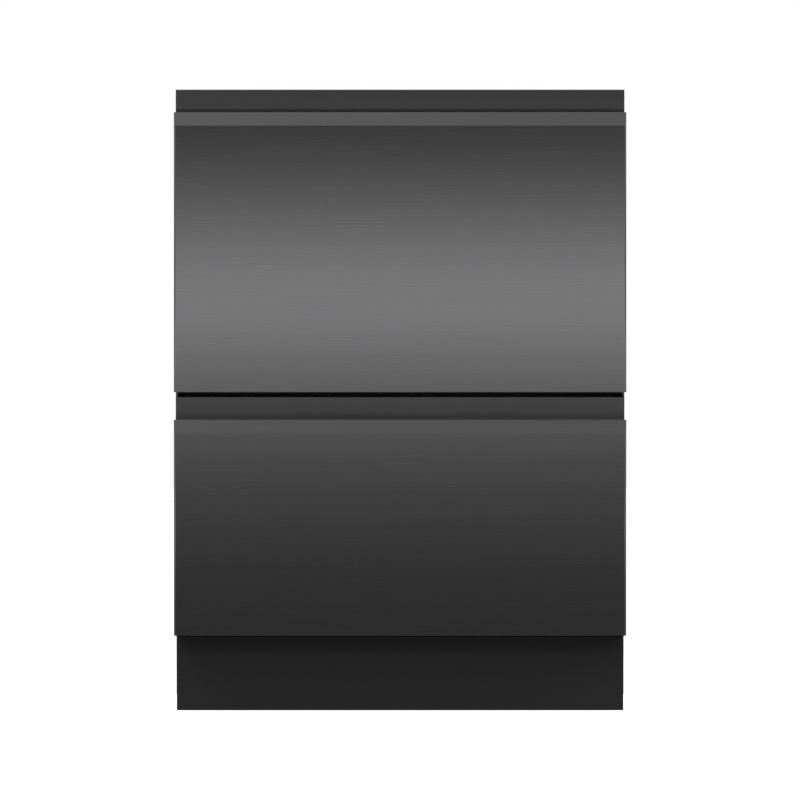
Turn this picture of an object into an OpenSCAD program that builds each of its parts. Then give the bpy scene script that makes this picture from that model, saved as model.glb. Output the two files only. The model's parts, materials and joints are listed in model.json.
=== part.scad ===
// Two-drawer built-in dishwasher. Millimetres, +Z up, drawers open towards -Y.
// The origin is on the floor, under the middle of the whole machine.

/* [Machine] */
// Width over the front panels
unit_w = 599; // [590:1:640]
// Height from the floor to the top
unit_h = 824; // [820:1:880]
// Depth from the front panels to the ends of the pipe spigots
unit_d = 573; // [560:1:620]
// Height of the toe-kick, from the floor
toe_h = 98.4; // [80:0.2:100]
// Height of one drawer above the other
drawer_pitch = 407.2; // [405:0.2:420]

/* [Cabinet] */
// How far the front panels reach past the cabinet on each side
cab_inset = 2.5; // [1:0.5:5]
// Thickness of the cabinet's sheets
cab_t = 1.2; // [1:0.1:2]
// Gap between the front assembly and the cabinet's front edge
front_gap = 2; // [1:0.5:5]
// How far the spigots stand out behind the back sheet
spigot_l = 14.5; // [12:0.5:20]
// Height of the side sheets' and the tray's lower edge
tray_z = 22; // [20:1:26]
// Height of the base tray's walls
tray_h = 38; // [30:1:45]
// Wall of the base tray
tray_t = 2; // [1.5:0.1:3]
// How far the toe-kick stands behind the front panels
toe_inset = 55; // [45:1:70]
// Thickness of the toe-kick
toe_t = 1.5; // [1:0.1:2]
// Height of the rail between the drawers
rail_h = 60; // [40:1:70]
// Depth of the rail between the drawers
rail_d = 25; // [20:1:35]

/* [Front panels] */
// Gap under the upper panel
panel_gap = 5.9; // [4:0.1:8]
// Height of the strip that shows above each panel
strip_h = 30.5; // [26:0.5:36]
// Height of the leaning lip at a panel's top
lip_h = 18; // [14:0.5:24]
// How far the lip leans back
lip_lean = 4.5; // [3:0.5:7]
// Thickness of the folded lip
lip_t = 3.6; // [3:0.1:5]
// Thickness of a panel's sheet
skin_t = 1.2; // [1:0.1:2]
// Radius of a panel's bent side edges
skin_r = 3; // [2:0.5:4]
// Clear depth of the finger pull
finger_gap = 20.4; // [16:0.2:26]
// How far the finger pull reaches below a panel's top
finger_drop = 28; // [24:1:36]
// Wall of the front liner and of the control head
liner_t = 2.5; // [2:0.1:3]
// Thickness of the fascia strip
fascia_t = 3; // [2:0.5:4]
// Depth of the control head behind the strip
head_d = 38; // [34:1:44]
// Height of the control head
head_h = 36; // [30:1:40]
// Gap between the control head and the top of its drawer's space
head_gap = 4; // [4:0.5:6]

/* [Controls] */
// Radius of a button
button_r = 7; // [5:0.5:8]
// How far a button stands out of the head
button_proud = 0.8; // [0.6:0.1:1.5]
// Clearance round a button
button_clear = 0.3; // [0.2:0.05:0.5]
// Width of the display window
display_w = 70; // [50:1:80]
// Depth of the display window
display_d = 14; // [10:1:18]
// Thickness of the display window
display_t = 1.2; // [1:0.1:1.5]

/* [Tub] */
// Thickness of the pads between a tub and its runners
tub_pad = 6.5; // [6:0.5:12]
// Clear height under a pump housing
under_gap = 5.4; // [4:0.2:10]
// Wall of a tub
tub_t = 3; // [2.5:0.5:4]
// Radius of a tub's corners
tub_r = 32; // [25:1:45]
// Distance from a drawer's top down to its tub's rim
rim_drop = 29; // [28:0.5:31]
// How far the rim stands out
rim_w = 5; // [4:0.5:6]
// Height of the rim
rim_h = 6; // [5:0.5:10]
// Room behind the tubs
rear_room = 68.3; // [60:0.1:80]
// Radius of the sump hole in a tub's floor
sump_r = 70; // [64:1:80]

/* [Runners] */
// Room behind the runners
runner_room = 17.3; // [10:0.1:30]
// Height of the outer runner channel
runner_h = 46; // [40:1:50]
// Width of the whole runner
runner_w = 11.3; // [11:0.1:11.5]
// Sheet thickness of the runners
runner_t = 1.5; // [1.2:0.1:2]
// Running clearance between the runner members
runner_clear = 0.3; // [0.2:0.05:0.6]
// Distance from a drawer's top down to the runners' middle
runner_drop = 149; // [135:1:160]

/* [Lid] */
// Thickness of the lid
lid_t = 8; // [6:0.5:9]
// Thickness of the lid's top skin
lid_skin = 3; // [2:0.5:4]
// Thickness of the lid's seal
seal_t = 5; // [4:0.5:6]
// Width of the lid's seal
seal_w = 7; // [5:0.5:8]
// Height of the raised seal over the rim
lid_lift = 6; // [5:0.5:6.5]
// Radius of the lid's guide pins
guide_r = 3; // [2.5:0.1:3.2]
// Length of the lid's guide pins
guide_l = 26; // [24:1:30]
// Running clearance of a pin, post or stem in its bore
fit = 0.05; // [0.02:0.01:0.1]

/* [Washing] */
// Height of the pump housing
pump_h = 44; // [38:1:44]
// Radius of the pump housing
pump_r = 95; // [85:1:100]
// Radius of the pump rotor
rotor_r = 58; // [48:1:60]
// Radius of the rotor's shaft
shaft_r = 4; // [3:0.5:5]
// Radius of the filter plate
filter_r = 110; // [100:1:120]
// Thickness of the filter plate
filter_t = 5; // [4:0.5:6]
// Radius of the post that carries the spray arm
post_r = 8; // [7:0.5:10]
// Clearance between the spray arm's tips and the tub
arm_gap = 8; // [6:1:20]
// Radius of the spray arm's hub
hub_r = 24; // [18:1:30]
// Thickness of the spray arm
arm_t = 10; // [8:0.5:12]
// Width of the spray arm's tips
arm_w = 30; // [24:1:36]

/* [Rack] */
// Radius of a rack wire
wire_r = 2; // [1.5:0.1:2.2]
// Gap between a rack and the tub's sides
rack_side_gap = 13; // [8:1:20]
// Gap between a rack and the tub's front and back
rack_end_gap = 14; // [13:1:20]
// Height of the tub's rim over a rack
rack_top_gap = 35; // [28:1:45]
// Height of a rack's floor over the tub's floor
rack_lift = 34; // [33:0.5:38]
// Spacing of a rack's wires
wire_pitch = 62; // [55:1:70]
// Length of the plate tines
tine_l = 85; // [70:1:88]
// Spacing of the plate tines
tine_pitch = 26; // [22:1:34]
// Height of the cup shelf over the rack's middle rim
shelf_up = 16; // [14:1:22]
// Width of the cup shelf
shelf_w = 82; // [70:1:84]
// Width of the cutlery basket
basket_w = 120; // [90:1:130]
// Depth of the cutlery basket
basket_d = 110; // [80:1:120]
// Height of the cutlery basket
basket_h = 120; // [90:1:140]

/* [Dispenser] */
// Width of the detergent cup
cup_w = 78; // [60:1:80]
// Height of the detergent cup
cup_h = 54; // [40:1:56]
// Depth of the dispenser in front of the tub's wall
cup_d = 26; // [20:1:34]
// Thickness of the dispenser door
door_t = 3; // [2:0.5:3.5]
// Radius of the rinse-aid cap
cap_r = 14; // [11:0.5:16]
// Distance from a drawer's top down to the dispenser's middle
cup_drop = 95; // [92:1:110]

/* [Feet and services] */
// Radius of a foot's pad
foot_r = 18; // [14:1:22]
// Radius of a foot's stem
stem_r = 5; // [4:0.5:6]
// Length of a foot's stem above its pad
stem_l = 86; // [82:1:90]
// Radius of the water inlet's three-quarter-inch thread
inlet_r = 13.2; // [12:0.1:14]
// Radius of a drain spigot
drain_r = 9.5; // [8:0.5:11]
// Radius of the bore for the mains cord
cord_r = 4.25; // [3.5:0.05:5]
// Radius of the fixing holes
screw_r = 2.5; // [2:0.1:3]

/* [Hidden] */
$fn = 48;
LOWER = 0;
UPPER = 1;
octagon = 8;
turn8 = 180 / octagon;

cab_w = unit_w - 2 * cab_inset;
front_y = -unit_d / 2;
back_y = unit_d / 2 - spigot_l;
cab_x = cab_w / 2 - cab_t;
fascia_w = cab_w + 1;
fascia_d = lip_lean + lip_t + liner_t + finger_gap;
front_t = fascia_d + fascia_t;
cab_y = front_y + front_t + front_gap;
head_w = 2 * cab_x - 20;
tub_y0 = front_y + front_t + head_d + rim_w;
tub_y1 = back_y - cab_t - rear_room;
tub_d = tub_y1 - tub_y0;
tub_y = (tub_y0 + tub_y1) / 2;
inner_x = cab_x - runner_w;
tub_w = 2 * (inner_x - tub_pad);
tub_h = min(unit_h - drawer_pitch - toe_h, drawer_pitch - head_gap - rail_h)
    - rim_drop - pump_h - under_gap;
runner_y = cab_y + 4;
runner_l = back_y - cab_t - runner_room - runner_y;
arm_l = tub_d / 2 - tub_t - arm_gap;
rack_w = tub_w - 2 * tub_t - 2 * rack_side_gap;
rack_d = tub_d - 2 * tub_t - 2 * rack_end_gap;
rack_h = tub_h - tub_t - rack_lift - rack_top_gap;
shelf_z = rack_h / 2 + shelf_up;
bush_h = 24;
foot_in_x = 30;
edge_in = 5;
side_hole_z = [toe_h + 51.6, unit_h - 74];
pad_pitch = 140;
pad_l = 50;
pad_h = 24;
brace_x = tub_w / 2 - tub_r - 36;
brace_t = 10;
brace_z = [20, 120];
toe_lip = 24;
module_size = [160, 42, 70];
hole_gap = 0.2;
nut_t = 2;
front_foot_y = front_y + toe_inset + 36;
rear_foot_y = back_y - 37;
lid_gap = 2;
lid_d = tub_d + 2 * rim_w - 2 * lid_gap;
lid_w = tub_w + 2 * rim_w - 2 * lid_gap;
lug_t = 5;
bracket_y = 120;
lift_gap = 2;
bracket_w = cab_x - tub_w / 2 - rim_w - lift_gap;
bracket_l = 18;
bracket_h = 23;
bracket_drop = rim_drop - seal_t + 1;
guide_x = cab_x - bracket_w / 2 - 0.2;
dispenser_x = 20;
cap_x = dispenser_x - cup_w / 2 - 31;
flange_t = 2;
liner_gap = 0.3;
weld = 0.4;
thin_r = 0.9 * wire_r;
leg_r = 5;
hole_r = 4;
box_gap = 0.3;
clip_w = 3;
clip_h = 5;
hinge_gap = 0.3;

// Height of a drawer's top: 0 is the lower drawer, 1 the upper one
function drawer_z(i) = unit_h - (1 - i) * drawer_pitch;
function panel_top(i) = drawer_z(i) - strip_h;
function panel_low(i) = i == UPPER ? drawer_z(LOWER) + panel_gap : toe_h + 2;
function rim_z(i) = drawer_z(i) - rim_drop;
function floor_z(i) = rim_z(i) - tub_h + tub_t;
function rack_z(i) = floor_z(i) + rack_lift;
function pump_z(i) = rim_z(i) - tub_h - pump_h;
function head_z(i) = drawer_z(i) - head_gap;
// Places of n things a pitch apart, centred on zero
function spread(n, pitch) = [for (k = [0 : n - 1]) (k - (n - 1) / 2) * pitch];

// ---------- shared shapes ----------

// A box from its lowest corner to its highest
module block(low, high) {
    translate(low) cube(high - low);
}

// A rectangle with round corners, centred
module rounded(w, d, r) {
    square([w - 2 * r, d], center = true);
    square([w, d - 2 * r], center = true);
    for (x = [-1, 1], y = [-1, 1])
        translate([x * (w / 2 - r), y * (d / 2 - r)]) circle(r);
}

// A side outline, drawn as depth and height, stretched over a width
module across(w) {
    translate([-w / 2, 0, 0]) rotate([90, 0, 90]) linear_extrude(w) children();
}

// A straight wire of eight flats between two points that differ along one axis
module wire(a, b, r = wire_r) {
    step = b - a;
    turn = step.x != 0 ? [0, 90, 0] : step.y != 0 ? [-90, 0, 0] : [0, 0, 0];
    translate(a) rotate(turn) rotate(turn8)
        cylinder(h = norm(step), r = r / cos(turn8), $fn = octagon);
}

// A rod of full roundness along Y or X, for hinges
module rod_x(x0, x1, y, z, r) {
    translate([x0, y, z]) rotate([0, 90, 0]) cylinder(h = x1 - x0, r = r);
}
module rod_y(y0, y1, x, z, r) {
    translate([x, y0, z]) rotate([-90, 0, 0]) cylinder(h = y1 - y0, r = r);
}

// Mirrored copies on both sides
module both_sides() {
    children();
    mirror([1, 0, 0]) children();
}

// ---------- cabinet ----------

module side_sheet() {
    toe_y = front_y + toe_inset;
    difference() {
        across_side() polygon([
            [toe_y + toe_t, tray_z], [back_y, tray_z], [back_y, unit_h], [cab_y, unit_h],
            [cab_y, toe_h + 1], [toe_y + toe_t, toe_h + 1]
        ]);
        for (z = side_hole_z)
            rod_x(cab_x - 1, cab_w / 2 + 1, cab_y + 10, z, screw_r);
    }
}

// The sheet's outline, stretched through its thickness on the right side
module across_side() {
    translate([cab_x, 0, 0]) rotate([90, 0, 90]) linear_extrude(cab_t) children();
}

module cabinet_left_side() {
    color("silver") mirror([1, 0, 0]) side_sheet();
}

module cabinet_right_side() {
    color("silver") side_sheet();
}

module cabinet_top() {
    color("silver") difference() {
        block([-cab_x, cab_y, unit_h - cab_t], [cab_x, back_y, unit_h]);
        for (x = [-1, 1])
            translate([x * (cab_x - edge_in), cab_y + 12, unit_h - cab_t - 1])
                cylinder(h = cab_t + 2, r = screw_r);
    }
}

service_z = tray_z + tray_h + 30;
inlet_x = 95.8 - cab_x;
drain_x = [150, 190];
gland_x = cab_x - 45.8;

module cabinet_back() {
    color("silver") difference() {
        block([-cab_x, back_y - cab_t, tray_z + tray_h], [cab_x, back_y, unit_h - cab_t]);
        rod_y(back_y - cab_t - 1, back_y + 1, inlet_x, service_z, inlet_r + hole_gap);
        for (x = drain_x) rod_y(back_y - cab_t - 1, back_y + 1, x, service_z, drain_r + hole_gap);
        rod_y(back_y - cab_t - 1, back_y + 1, gland_x, service_z, cord_r + 4 + hole_gap);
    }
}

module base_tray() {
    y0 = front_y + toe_inset + toe_t;
    color("dimgray") difference() {
        union() {
            difference() {
                block([-cab_x, y0, tray_z], [cab_x, back_y, tray_z + tray_h]);
                block([-cab_x + tray_t, y0 + tray_t, tray_z + tray_t],
                      [cab_x - tray_t, back_y - tray_t, tray_z + tray_h + 1]);
            }
            for (p = foot_places) translate([p.x, p.y, tray_z + tray_t / 2])
                cylinder(h = bush_h - tray_t / 2, r = stem_r + 6);
        }
        for (p = foot_places) translate([p.x, p.y, tray_z - 1])
            cylinder(h = bush_h + 2, r = stem_r + fit);
    }
}

module middle_rail() {
    z = drawer_z(LOWER) + head_gap;
    color("silver") difference() {
        block([-cab_x, cab_y, z], [cab_x, cab_y + rail_d, z + rail_h]);
        block([-cab_x - 1, cab_y + 1.5, z + 1.5], [cab_x + 1, cab_y + rail_d + 1, z + rail_h - 1.5]);
    }
}

module toe_kick() {
    y = front_y + toe_inset;
    w = cab_w - 1;
    color("#1c1c1c") {
        block([-w / 2, y, 0.4], [w / 2, y + toe_t, toe_h]);
        block([-cab_x, y + toe_t, toe_h - toe_t], [cab_x, y + toe_lip, toe_h]);
    }
}

// ---------- runners ----------

// A channel open towards the middle of the machine, on the right side
module channel(x_web, x_open, z, h) {
    difference() {
        block([x_open, 0, z - h / 2], [x_web, runner_l, z + h / 2]);
        block([x_open - 1, -1, z - h / 2 + runner_t], [x_web - runner_t, runner_l + 1, z + h / 2 - runner_t]);
    }
}

web_gap = runner_clear + 0.1;
outer_in = cab_x - 9;
middle_web = cab_x - runner_t - web_gap;
middle_h = runner_h - 2 * runner_t - 2 * runner_clear;
inner_h = middle_h - 2 * runner_t - 2 * runner_clear;

module outer_runners() {
    color("gainsboro") for (i = [LOWER, UPPER])
        both_sides() translate([0, runner_y, 0])
            channel(cab_x, outer_in, drawer_z(i) - runner_drop, runner_h);
}

module middle_runners(i) {
    color("gainsboro") both_sides() translate([0, runner_y, 0])
        channel(middle_web, inner_x + runner_t, drawer_z(i) - runner_drop, middle_h);
}

// The inner member is a channel turned the other way, with its web by the tub
module inner_runners(i) {
    z = drawer_z(i) - runner_drop;
    lip = middle_web - runner_t - web_gap;
    color("gainsboro") both_sides() translate([0, runner_y, 0]) difference() {
        block([inner_x, 0, z - inner_h / 2], [lip, runner_l, z + inner_h / 2]);
        block([inner_x + runner_t, -1, z - inner_h / 2 + runner_t],
              [lip + 1, runner_l + 1, z + inner_h / 2 - runner_t]);
    }
}

// ---------- lid and its lift ----------

module lid_lift_units() {
    color("#e8e8e4") for (i = [LOWER, UPPER], s = [-1, 1])
        both_sides() lift_unit(drawer_z(i) - bracket_drop, tub_y + s * bracket_y);
}

// A block with the guide bore and a round capsule beside it
module lift_unit(z, y) {
    x0 = cab_x - bracket_w;
    difference() {
        union() {
            block([x0, y - bracket_l / 2, z - bracket_h], [cab_x, y + bracket_l / 2, z]);
            translate([cab_x - bracket_w / 2, y + bracket_l / 2 + 4, z - bracket_h])
                cylinder(h = bracket_h - 3, r = bracket_w / 2 - 0.4);
        }
        translate([guide_x, y, z - bracket_h - 1]) cylinder(h = bracket_h + 2, r = guide_r + fit);
    }
}

module lid(i) {
    z = rim_z(i) + lid_lift + seal_t;
    color("#dcdcd8") {
        translate([0, tub_y, z]) difference() {
            linear_extrude(lid_t) rounded(lid_w, lid_d, tub_r);
            for (x = spread(4, lid_w / 4), y = spread(3, lid_d / 3))
                translate([x, y, lid_skin + lid_t / 2])
                    cube([lid_w / 4 - 8, lid_d / 3 - 8, lid_t], center = true);
        }
        both_sides() for (s = [-1, 1]) translate([0, tub_y + s * bracket_y, z]) {
            block([lid_w / 2 - 4, -8, 0], [guide_x + guide_r + 1, 8, lug_t]);
            translate([guide_x, 0, 1 - guide_l]) cylinder(h = guide_l, r = guide_r);
        }
    }
}

module lid_seal(i) {
    color("#3a3a3a") translate([0, tub_y, rim_z(i) + lid_lift]) linear_extrude(seal_t) difference() {
        rounded(lid_w, lid_d, tub_r);
        rounded(lid_w - 2 * seal_w, lid_d - 2 * seal_w, tub_r - seal_w);
    }
}

// ---------- front assembly ----------

// The outline of a front panel's side: depth behind the front face, then height
module panel_side(i, inset, open) {
    low = panel_low(i) + inset;
    bend = panel_top(i) - lip_h;
    top = panel_top(i);
    polygon([
        [front_y + inset, low],
        [front_y + inset, bend],
        [front_y + inset + lip_lean * (top - inset - bend) / lip_h, top - inset],
        [front_y + open, top - inset],
        [front_y + open, low]
    ]);
}

skin_d = fascia_d - 4;
lip_back = lip_lean + lip_t;

// Wrapped sheet: a thin shell with bent sides, and a folded lip along the top
module front_panel(i) {
    w = unit_w;
    top = panel_top(i);
    color("#4d4d4f") difference() {
        intersection() {
            across(w) panel_side(i, 0, skin_d);
            translate([0, 0, panel_low(i) - 1]) linear_extrude(top - panel_low(i) + 2)
                panel_plan(w, skin_r, skin_d);
        }
        intersection() {
            across(w) panel_side(i, skin_t, skin_d + 1);
            translate([0, skin_t, panel_low(i) - 1]) linear_extrude(top - panel_low(i) - lip_h + 1)
                panel_plan(w - 2 * skin_t, skin_r - skin_t, skin_d);
        }
        block([-w / 2 + skin_t, front_y + lip_back, top - lip_h - 1],
              [w / 2 - skin_t, front_y + skin_d + 1, top + 1]);
    }
}

// A panel seen from above: square at the back, with bent front corners
module panel_plan(w, r, d) {
    translate([-w / 2, front_y + r]) square([w, d + 2]);
    translate([-w / 2 + r, front_y]) square([w - 2 * r, r + 1]);
    for (x = [-1, 1]) translate([x * (w / 2 - r), front_y + r]) circle(r);
}

trough_z = finger_drop + strip_h;

// Moulded door inside: a back wall, a rim and the floor and front of the finger pull
module front_liner(i) {
    w = unit_w / 2 - skin_t - liner_gap;
    low = panel_low(i) + skin_t;
    z = drawer_z(i) - trough_z;
    y0 = front_y + skin_t;
    y1 = front_y + front_t;
    color("#2b2b2c") {
        difference() {
            intersection() {
                block([-w, y0, low], [w, y1, z]);
                translate([0, skin_t, low]) linear_extrude(z - low)
                    panel_plan(2 * w, skin_r - skin_t, front_t);
            }
            block([-w + liner_t, y0 - 1, low + liner_t], [w - liner_t, y1 - liner_t, z - liner_t]);
        }
        block([-w, front_y + lip_back, z - 1], [w, front_y + lip_back + liner_t, panel_top(i) - 4]);
        for (x = [-1, 1])
            block([x < 0 ? -w : w - liner_t, front_y + lip_back + 1, z - 1],
                  [x < 0 ? -w + liner_t : w, front_y + fascia_d, panel_top(i) - 4]);
    }
}

control_y = front_y + front_t + head_d / 2;
button_x = [-80, 62, 88];
display_x = -10;

// Strip above the finger pull, with the hollow control head behind it
module control_fascia(i) {
    w = fascia_w / 2;
    z = head_z(i);
    y = front_y + front_t;
    color("#47474a") difference() {
        union() {
            block([-w, front_y + fascia_d, drawer_z(i) - trough_z], [w, y, drawer_z(i)]);
            difference() {
                block([-head_w / 2, y - 1, z - head_h], [head_w / 2, y + head_d, z]);
                block([-head_w / 2 + liner_t, y, z - head_h - 1],
                      [head_w / 2 - liner_t, y + head_d - liner_t, z - liner_t]);
            }
        }
        for (x = button_x) translate([x, control_y, z - liner_t - 1])
            cylinder(h = liner_t + 2, r = button_r + button_clear);
        translate([display_x, control_y, z - display_t])
            linear_extrude(display_t + 1) square([display_w + 0.4, display_d + 0.4], center = true);
    }
}

module display_window(i) {
    color("#101214") translate([display_x, control_y, head_z(i) - display_t])
        linear_extrude(display_t) square([display_w, display_d], center = true);
}

// A round cap with a collar held under the control head
module button(i, k) {
    z = head_z(i) - liner_t;
    color("#9a9a9c") translate([button_x[k], control_y, z]) {
        translate([0, 0, -0.5]) cylinder(h = liner_t + button_proud + 0.5, r = button_r);
        translate([0, 0, -button_clear - 2.5]) cylinder(h = 2.5, r = button_r + 2);
    }
}

// ---------- tub ----------

module tub(i) {
    z = rim_z(i) - tub_h;
    zc = drawer_z(i) - cup_drop;
    color("#c9cbcb") difference() {
        union() {
            translate([0, tub_y, z]) linear_extrude(tub_h) rounded(tub_w, tub_d, tub_r);
            translate([0, tub_y, z + tub_h - rim_h]) linear_extrude(rim_h)
                rounded(tub_w + 2 * rim_w, tub_d + 2 * rim_w, tub_r + rim_w);
            // pads that carry the inner runners
            both_sides() for (y = spread(3, pad_pitch)) block(
                [tub_w / 2 - 1, tub_y + y - pad_l / 2, drawer_z(i) - runner_drop - pad_h / 2],
                [inner_x, tub_y + y + pad_l / 2, drawer_z(i) - runner_drop + pad_h / 2]);
            // braces from the tub's front to the liner
            for (x = [-brace_x, brace_x])
                block([x - brace_t / 2, front_y + front_t, z + brace_z[0]],
                      [x + brace_t / 2, tub_y0 + 1, z + brace_z[1]]);
        }
        translate([0, tub_y, z + tub_t]) linear_extrude(tub_h)
            rounded(tub_w - 2 * tub_t, tub_d - 2 * tub_t, tub_r - tub_t);
        translate([0, tub_y, z - 1]) cylinder(h = tub_t + 2, r = sump_r);
        block([box_x0 - box_gap, tub_y0 - 1, zc - box_h / 2 - box_gap],
              [box_x1 + box_gap, tub_y0 + tub_t + 1, zc + box_h / 2 + box_gap]);
    }
}

// ---------- washing parts ----------

module filter_plate(i) {
    z = floor_z(i);
    color("#bfc2c4") translate([0, tub_y, z]) difference() {
        union() {
            cylinder(h = filter_t, r = filter_r);
            cylinder(h = post_top, r = post_r);
            cylinder(h = arm_z, r = post_r + 7);
        }
        for (ring = [[24, filter_r - 14], [12, filter_r - 42]], k = [1 : ring[0]])
            rotate(360 / ring[0] * k) translate([ring[1], 0, -1]) cylinder(h = filter_t + 2, r = hole_r);
    }
}

arm_z = filter_t + 3;
hub_h = arm_t + 6;
post_top = arm_z + hub_h + 3;

module spray_arm(i) {
    color("#d6d8d8") translate([0, tub_y, floor_z(i) + arm_z + 0.3]) difference() {
        union() {
            cylinder(h = hub_h, r = hub_r);
            translate([0, 0, 3]) linear_extrude(arm_t) for (a = [0, 180]) rotate(a) {
                polygon([[0, -hub_r], [arm_l - arm_w / 2, -arm_w / 2],
                         [arm_l - arm_w / 2, arm_w / 2], [0, hub_r]]);
                translate([arm_l - arm_w / 2, 0]) circle(arm_w / 2);
            }
        }
        translate([0, 0, -1]) cylinder(h = hub_h + 2, r = post_r + fit);
    }
}

housing_t = 3;
rotor_z = housing_t + 5;
blade_h = 12;

module pump_housing(i) {
    color("#4a4c50") translate([0, tub_y, pump_z(i)]) {
        difference() {
            union() {
                cylinder(h = pump_h, r = pump_r);
                translate([0, pump_r - 4, drain_r + 2]) rotate([-90, 0, 0]) cylinder(h = 40, r = drain_r);
            }
            translate([0, 0, housing_t]) cylinder(h = pump_h, r = pump_r - housing_t);
            translate([0, pump_r - 8, drain_r + 2]) rotate([-90, 0, 0]) cylinder(h = 50, r = drain_r - 2);
        }
        cylinder(h = rotor_z, r = shaft_r + 5);
        cylinder(h = pump_h - 6, r = shaft_r);
    }
}

module pump_rotor(i) {
    color("#e6e6e6") translate([0, tub_y, pump_z(i) + rotor_z + 0.3]) difference() {
        union() {
            cylinder(h = 3, r = rotor_r);
            cylinder(h = blade_h + 6, r = 14);
            for (a = [0 : 60 : 300]) rotate(a) translate([12, 2, 2]) cube([rotor_r - 16, 3, blade_h]);
        }
        translate([0, 0, -1]) cylinder(h = blade_h + 8, r = shaft_r + fit);
    }
}

// ---------- rack ----------

long_n = floor((rack_w - 20) / wire_pitch / 2) * 2 + 1;
cross_n = floor((rack_d - 12) / wire_pitch / 2) * 2 + 1;
cross_up = 2 * wire_r - weld;
cross_top = cross_up + wire_r;
upright_x = rack_w / 2 - cross_up;
upright_y = rack_d / 2 - cross_up;
weld_gap = 0.1;
rim_levels = [cross_up, rack_h / 2, rack_h];
access_x = wire_pitch * ceil((cap_r - cap_x) / wire_pitch);

// Floor of crossing wires on four legs: the ones at 0 run front to back
module rack_floor(i) {
    z = rack_z(i);
    x = upright_x - wire_r - weld_gap;
    y = upright_y - wire_r - weld_gap;
    for (k = spread(long_n, wire_pitch)) wire([k, -y, z], [k, y, z]);
    for (k = spread(cross_n, wire_pitch)) wire([-x, k, z + cross_up], [x, k, z + cross_up]);
    for (s = [-1, 1], t = [-1, 1])
        translate([s * (long_n - 1) / 2 * wire_pitch, t * (cross_n - 1) / 2 * wire_pitch, floor_z(i)])
            cylinder(h = rack_lift + 1, r = leg_r);
}

// Front and back walls of uprights and three rims, the front one low by the dispenser
module rack_ends(i) {
    z = rack_z(i);
    x = rack_w / 2 + wire_r;
    for (s = [-1, 1]) {
        y = s * upright_y;
        for (k = spread(long_n, wire_pitch)) {
            low = s < 0 && abs(k) < access_x - wire_r;
            wire([k, y, z - wire_r], [k, y, z + (low ? rack_h / 2 : rack_h)]);
        }
        for (level = rim_levels)
            if (s > 0 || level < rack_h)
                wire([-x, s * rack_d / 2, z + level], [x, s * rack_d / 2, z + level]);
    }
    both_sides()
        wire([access_x - wire_r, -rack_d / 2, z + rack_h], [x, -rack_d / 2, z + rack_h]);
}

// Side walls, whose rims end at the front and back ones
module rack_sides(i) {
    z = rack_z(i);
    y = rack_d / 2 - wire_r - weld_gap;
    for (s = [-1, 1]) {
        for (k = spread(cross_n, wire_pitch)) wire([s * upright_x, k, z], [s * upright_x, k, z + rack_h]);
        for (level = rim_levels) wire([s * rack_w / 2, -y, z + level], [s * rack_w / 2, y, z + level]);
    }
}

// A bar with a row of plate tines
module comb(y, z, x0, x1) {
    rod_x(x0, x1, y, z, wire_r);
    for (k = [0 : tine_n - 1])
        wire([tine_x0 + k * tine_pitch, y, z], [tine_x0 + k * tine_pitch, y, z + tine_l], thin_r);
}

tine_x0 = -rack_w / 2 + 34;
tine_n = floor((rack_w / 2 - 54) / tine_pitch) + 1;
tine_end = tine_x0 + (tine_n - 1) * tine_pitch;
bar_z = cross_top + wire_r + hinge_gap;
fixed_z = cross_top + wire_r + weld_gap;
shelf_x = -upright_x + 2 * wire_r + hinge_gap;
shelf_y = -wire_pitch;
shelf_n = 5;

bar_y = wire_pitch;
tine_clips = [tine_x0 - 10, tine_end + 10];
shelf_clips = [shelf_y - wire_pitch, shelf_y + wire_pitch];

module upper_rack() {
    z = rack_z(UPPER);
    color("#8f9296") translate([0, tub_y, 0]) difference() {
        union() {
            rack_floor(UPPER);
            rack_ends(UPPER);
            rack_sides(UPPER);
            comb(2 * wire_pitch, z + fixed_z, tine_clips[0], tine_clips[1]);
            for (x = tine_clips)
                block([x - clip_w, bar_y - clip_h, z + cross_up],
                      [x + clip_w, bar_y + clip_h, z + bar_z + clip_h]);
            for (y = shelf_clips)
                block([-upright_x, y - clip_w, z + shelf_z - clip_h],
                      [shelf_x + clip_h, y + clip_w, z + shelf_z + clip_h]);
        }
        rod_x(tine_clips[0] - 4, tine_clips[1] + 4, bar_y, z + bar_z, wire_r + fit);
        rod_y(shelf_clips[0] - 4, shelf_clips[1] + 4, shelf_x, z + shelf_z, wire_r + fit);
    }
}

module lower_rack() {
    color("#8f9296") translate([0, tub_y, 0]) {
        rack_floor(LOWER);
        rack_ends(LOWER);
        rack_sides(LOWER);
        for (k = [0, 2]) comb(k * wire_pitch, rack_z(LOWER) + fixed_z, tine_clips[0], tine_clips[1]);
    }
}

module tine_row() {
    color("#8f9296") translate([0, tub_y, 0])
        comb(bar_y, rack_z(UPPER) + bar_z, tine_clips[0] - 6, tine_clips[1] + 6);
}

module cup_shelf() {
    z = rack_z(UPPER) + shelf_z;
    color("#8f9296") translate([0, tub_y, 0]) {
        edge = shelf_x + shelf_w;
        pitch = 2 * wire_pitch / shelf_n;
        reach = (shelf_n - 1) / 2 * pitch;
        rod_y(shelf_clips[0] - 6, shelf_clips[1] + 6, shelf_x, z, wire_r);
        for (k = spread(shelf_n, pitch)) wire([shelf_x, shelf_y + k, z], [edge, shelf_y + k, z], thin_r);
        wire([edge, shelf_y - reach - wire_r, z], [edge, shelf_y + reach + wire_r, z]);
    }
}

basket_x = upright_x - basket_w - 28.4;
basket_y = -rack_d / 2 + 24;

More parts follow.
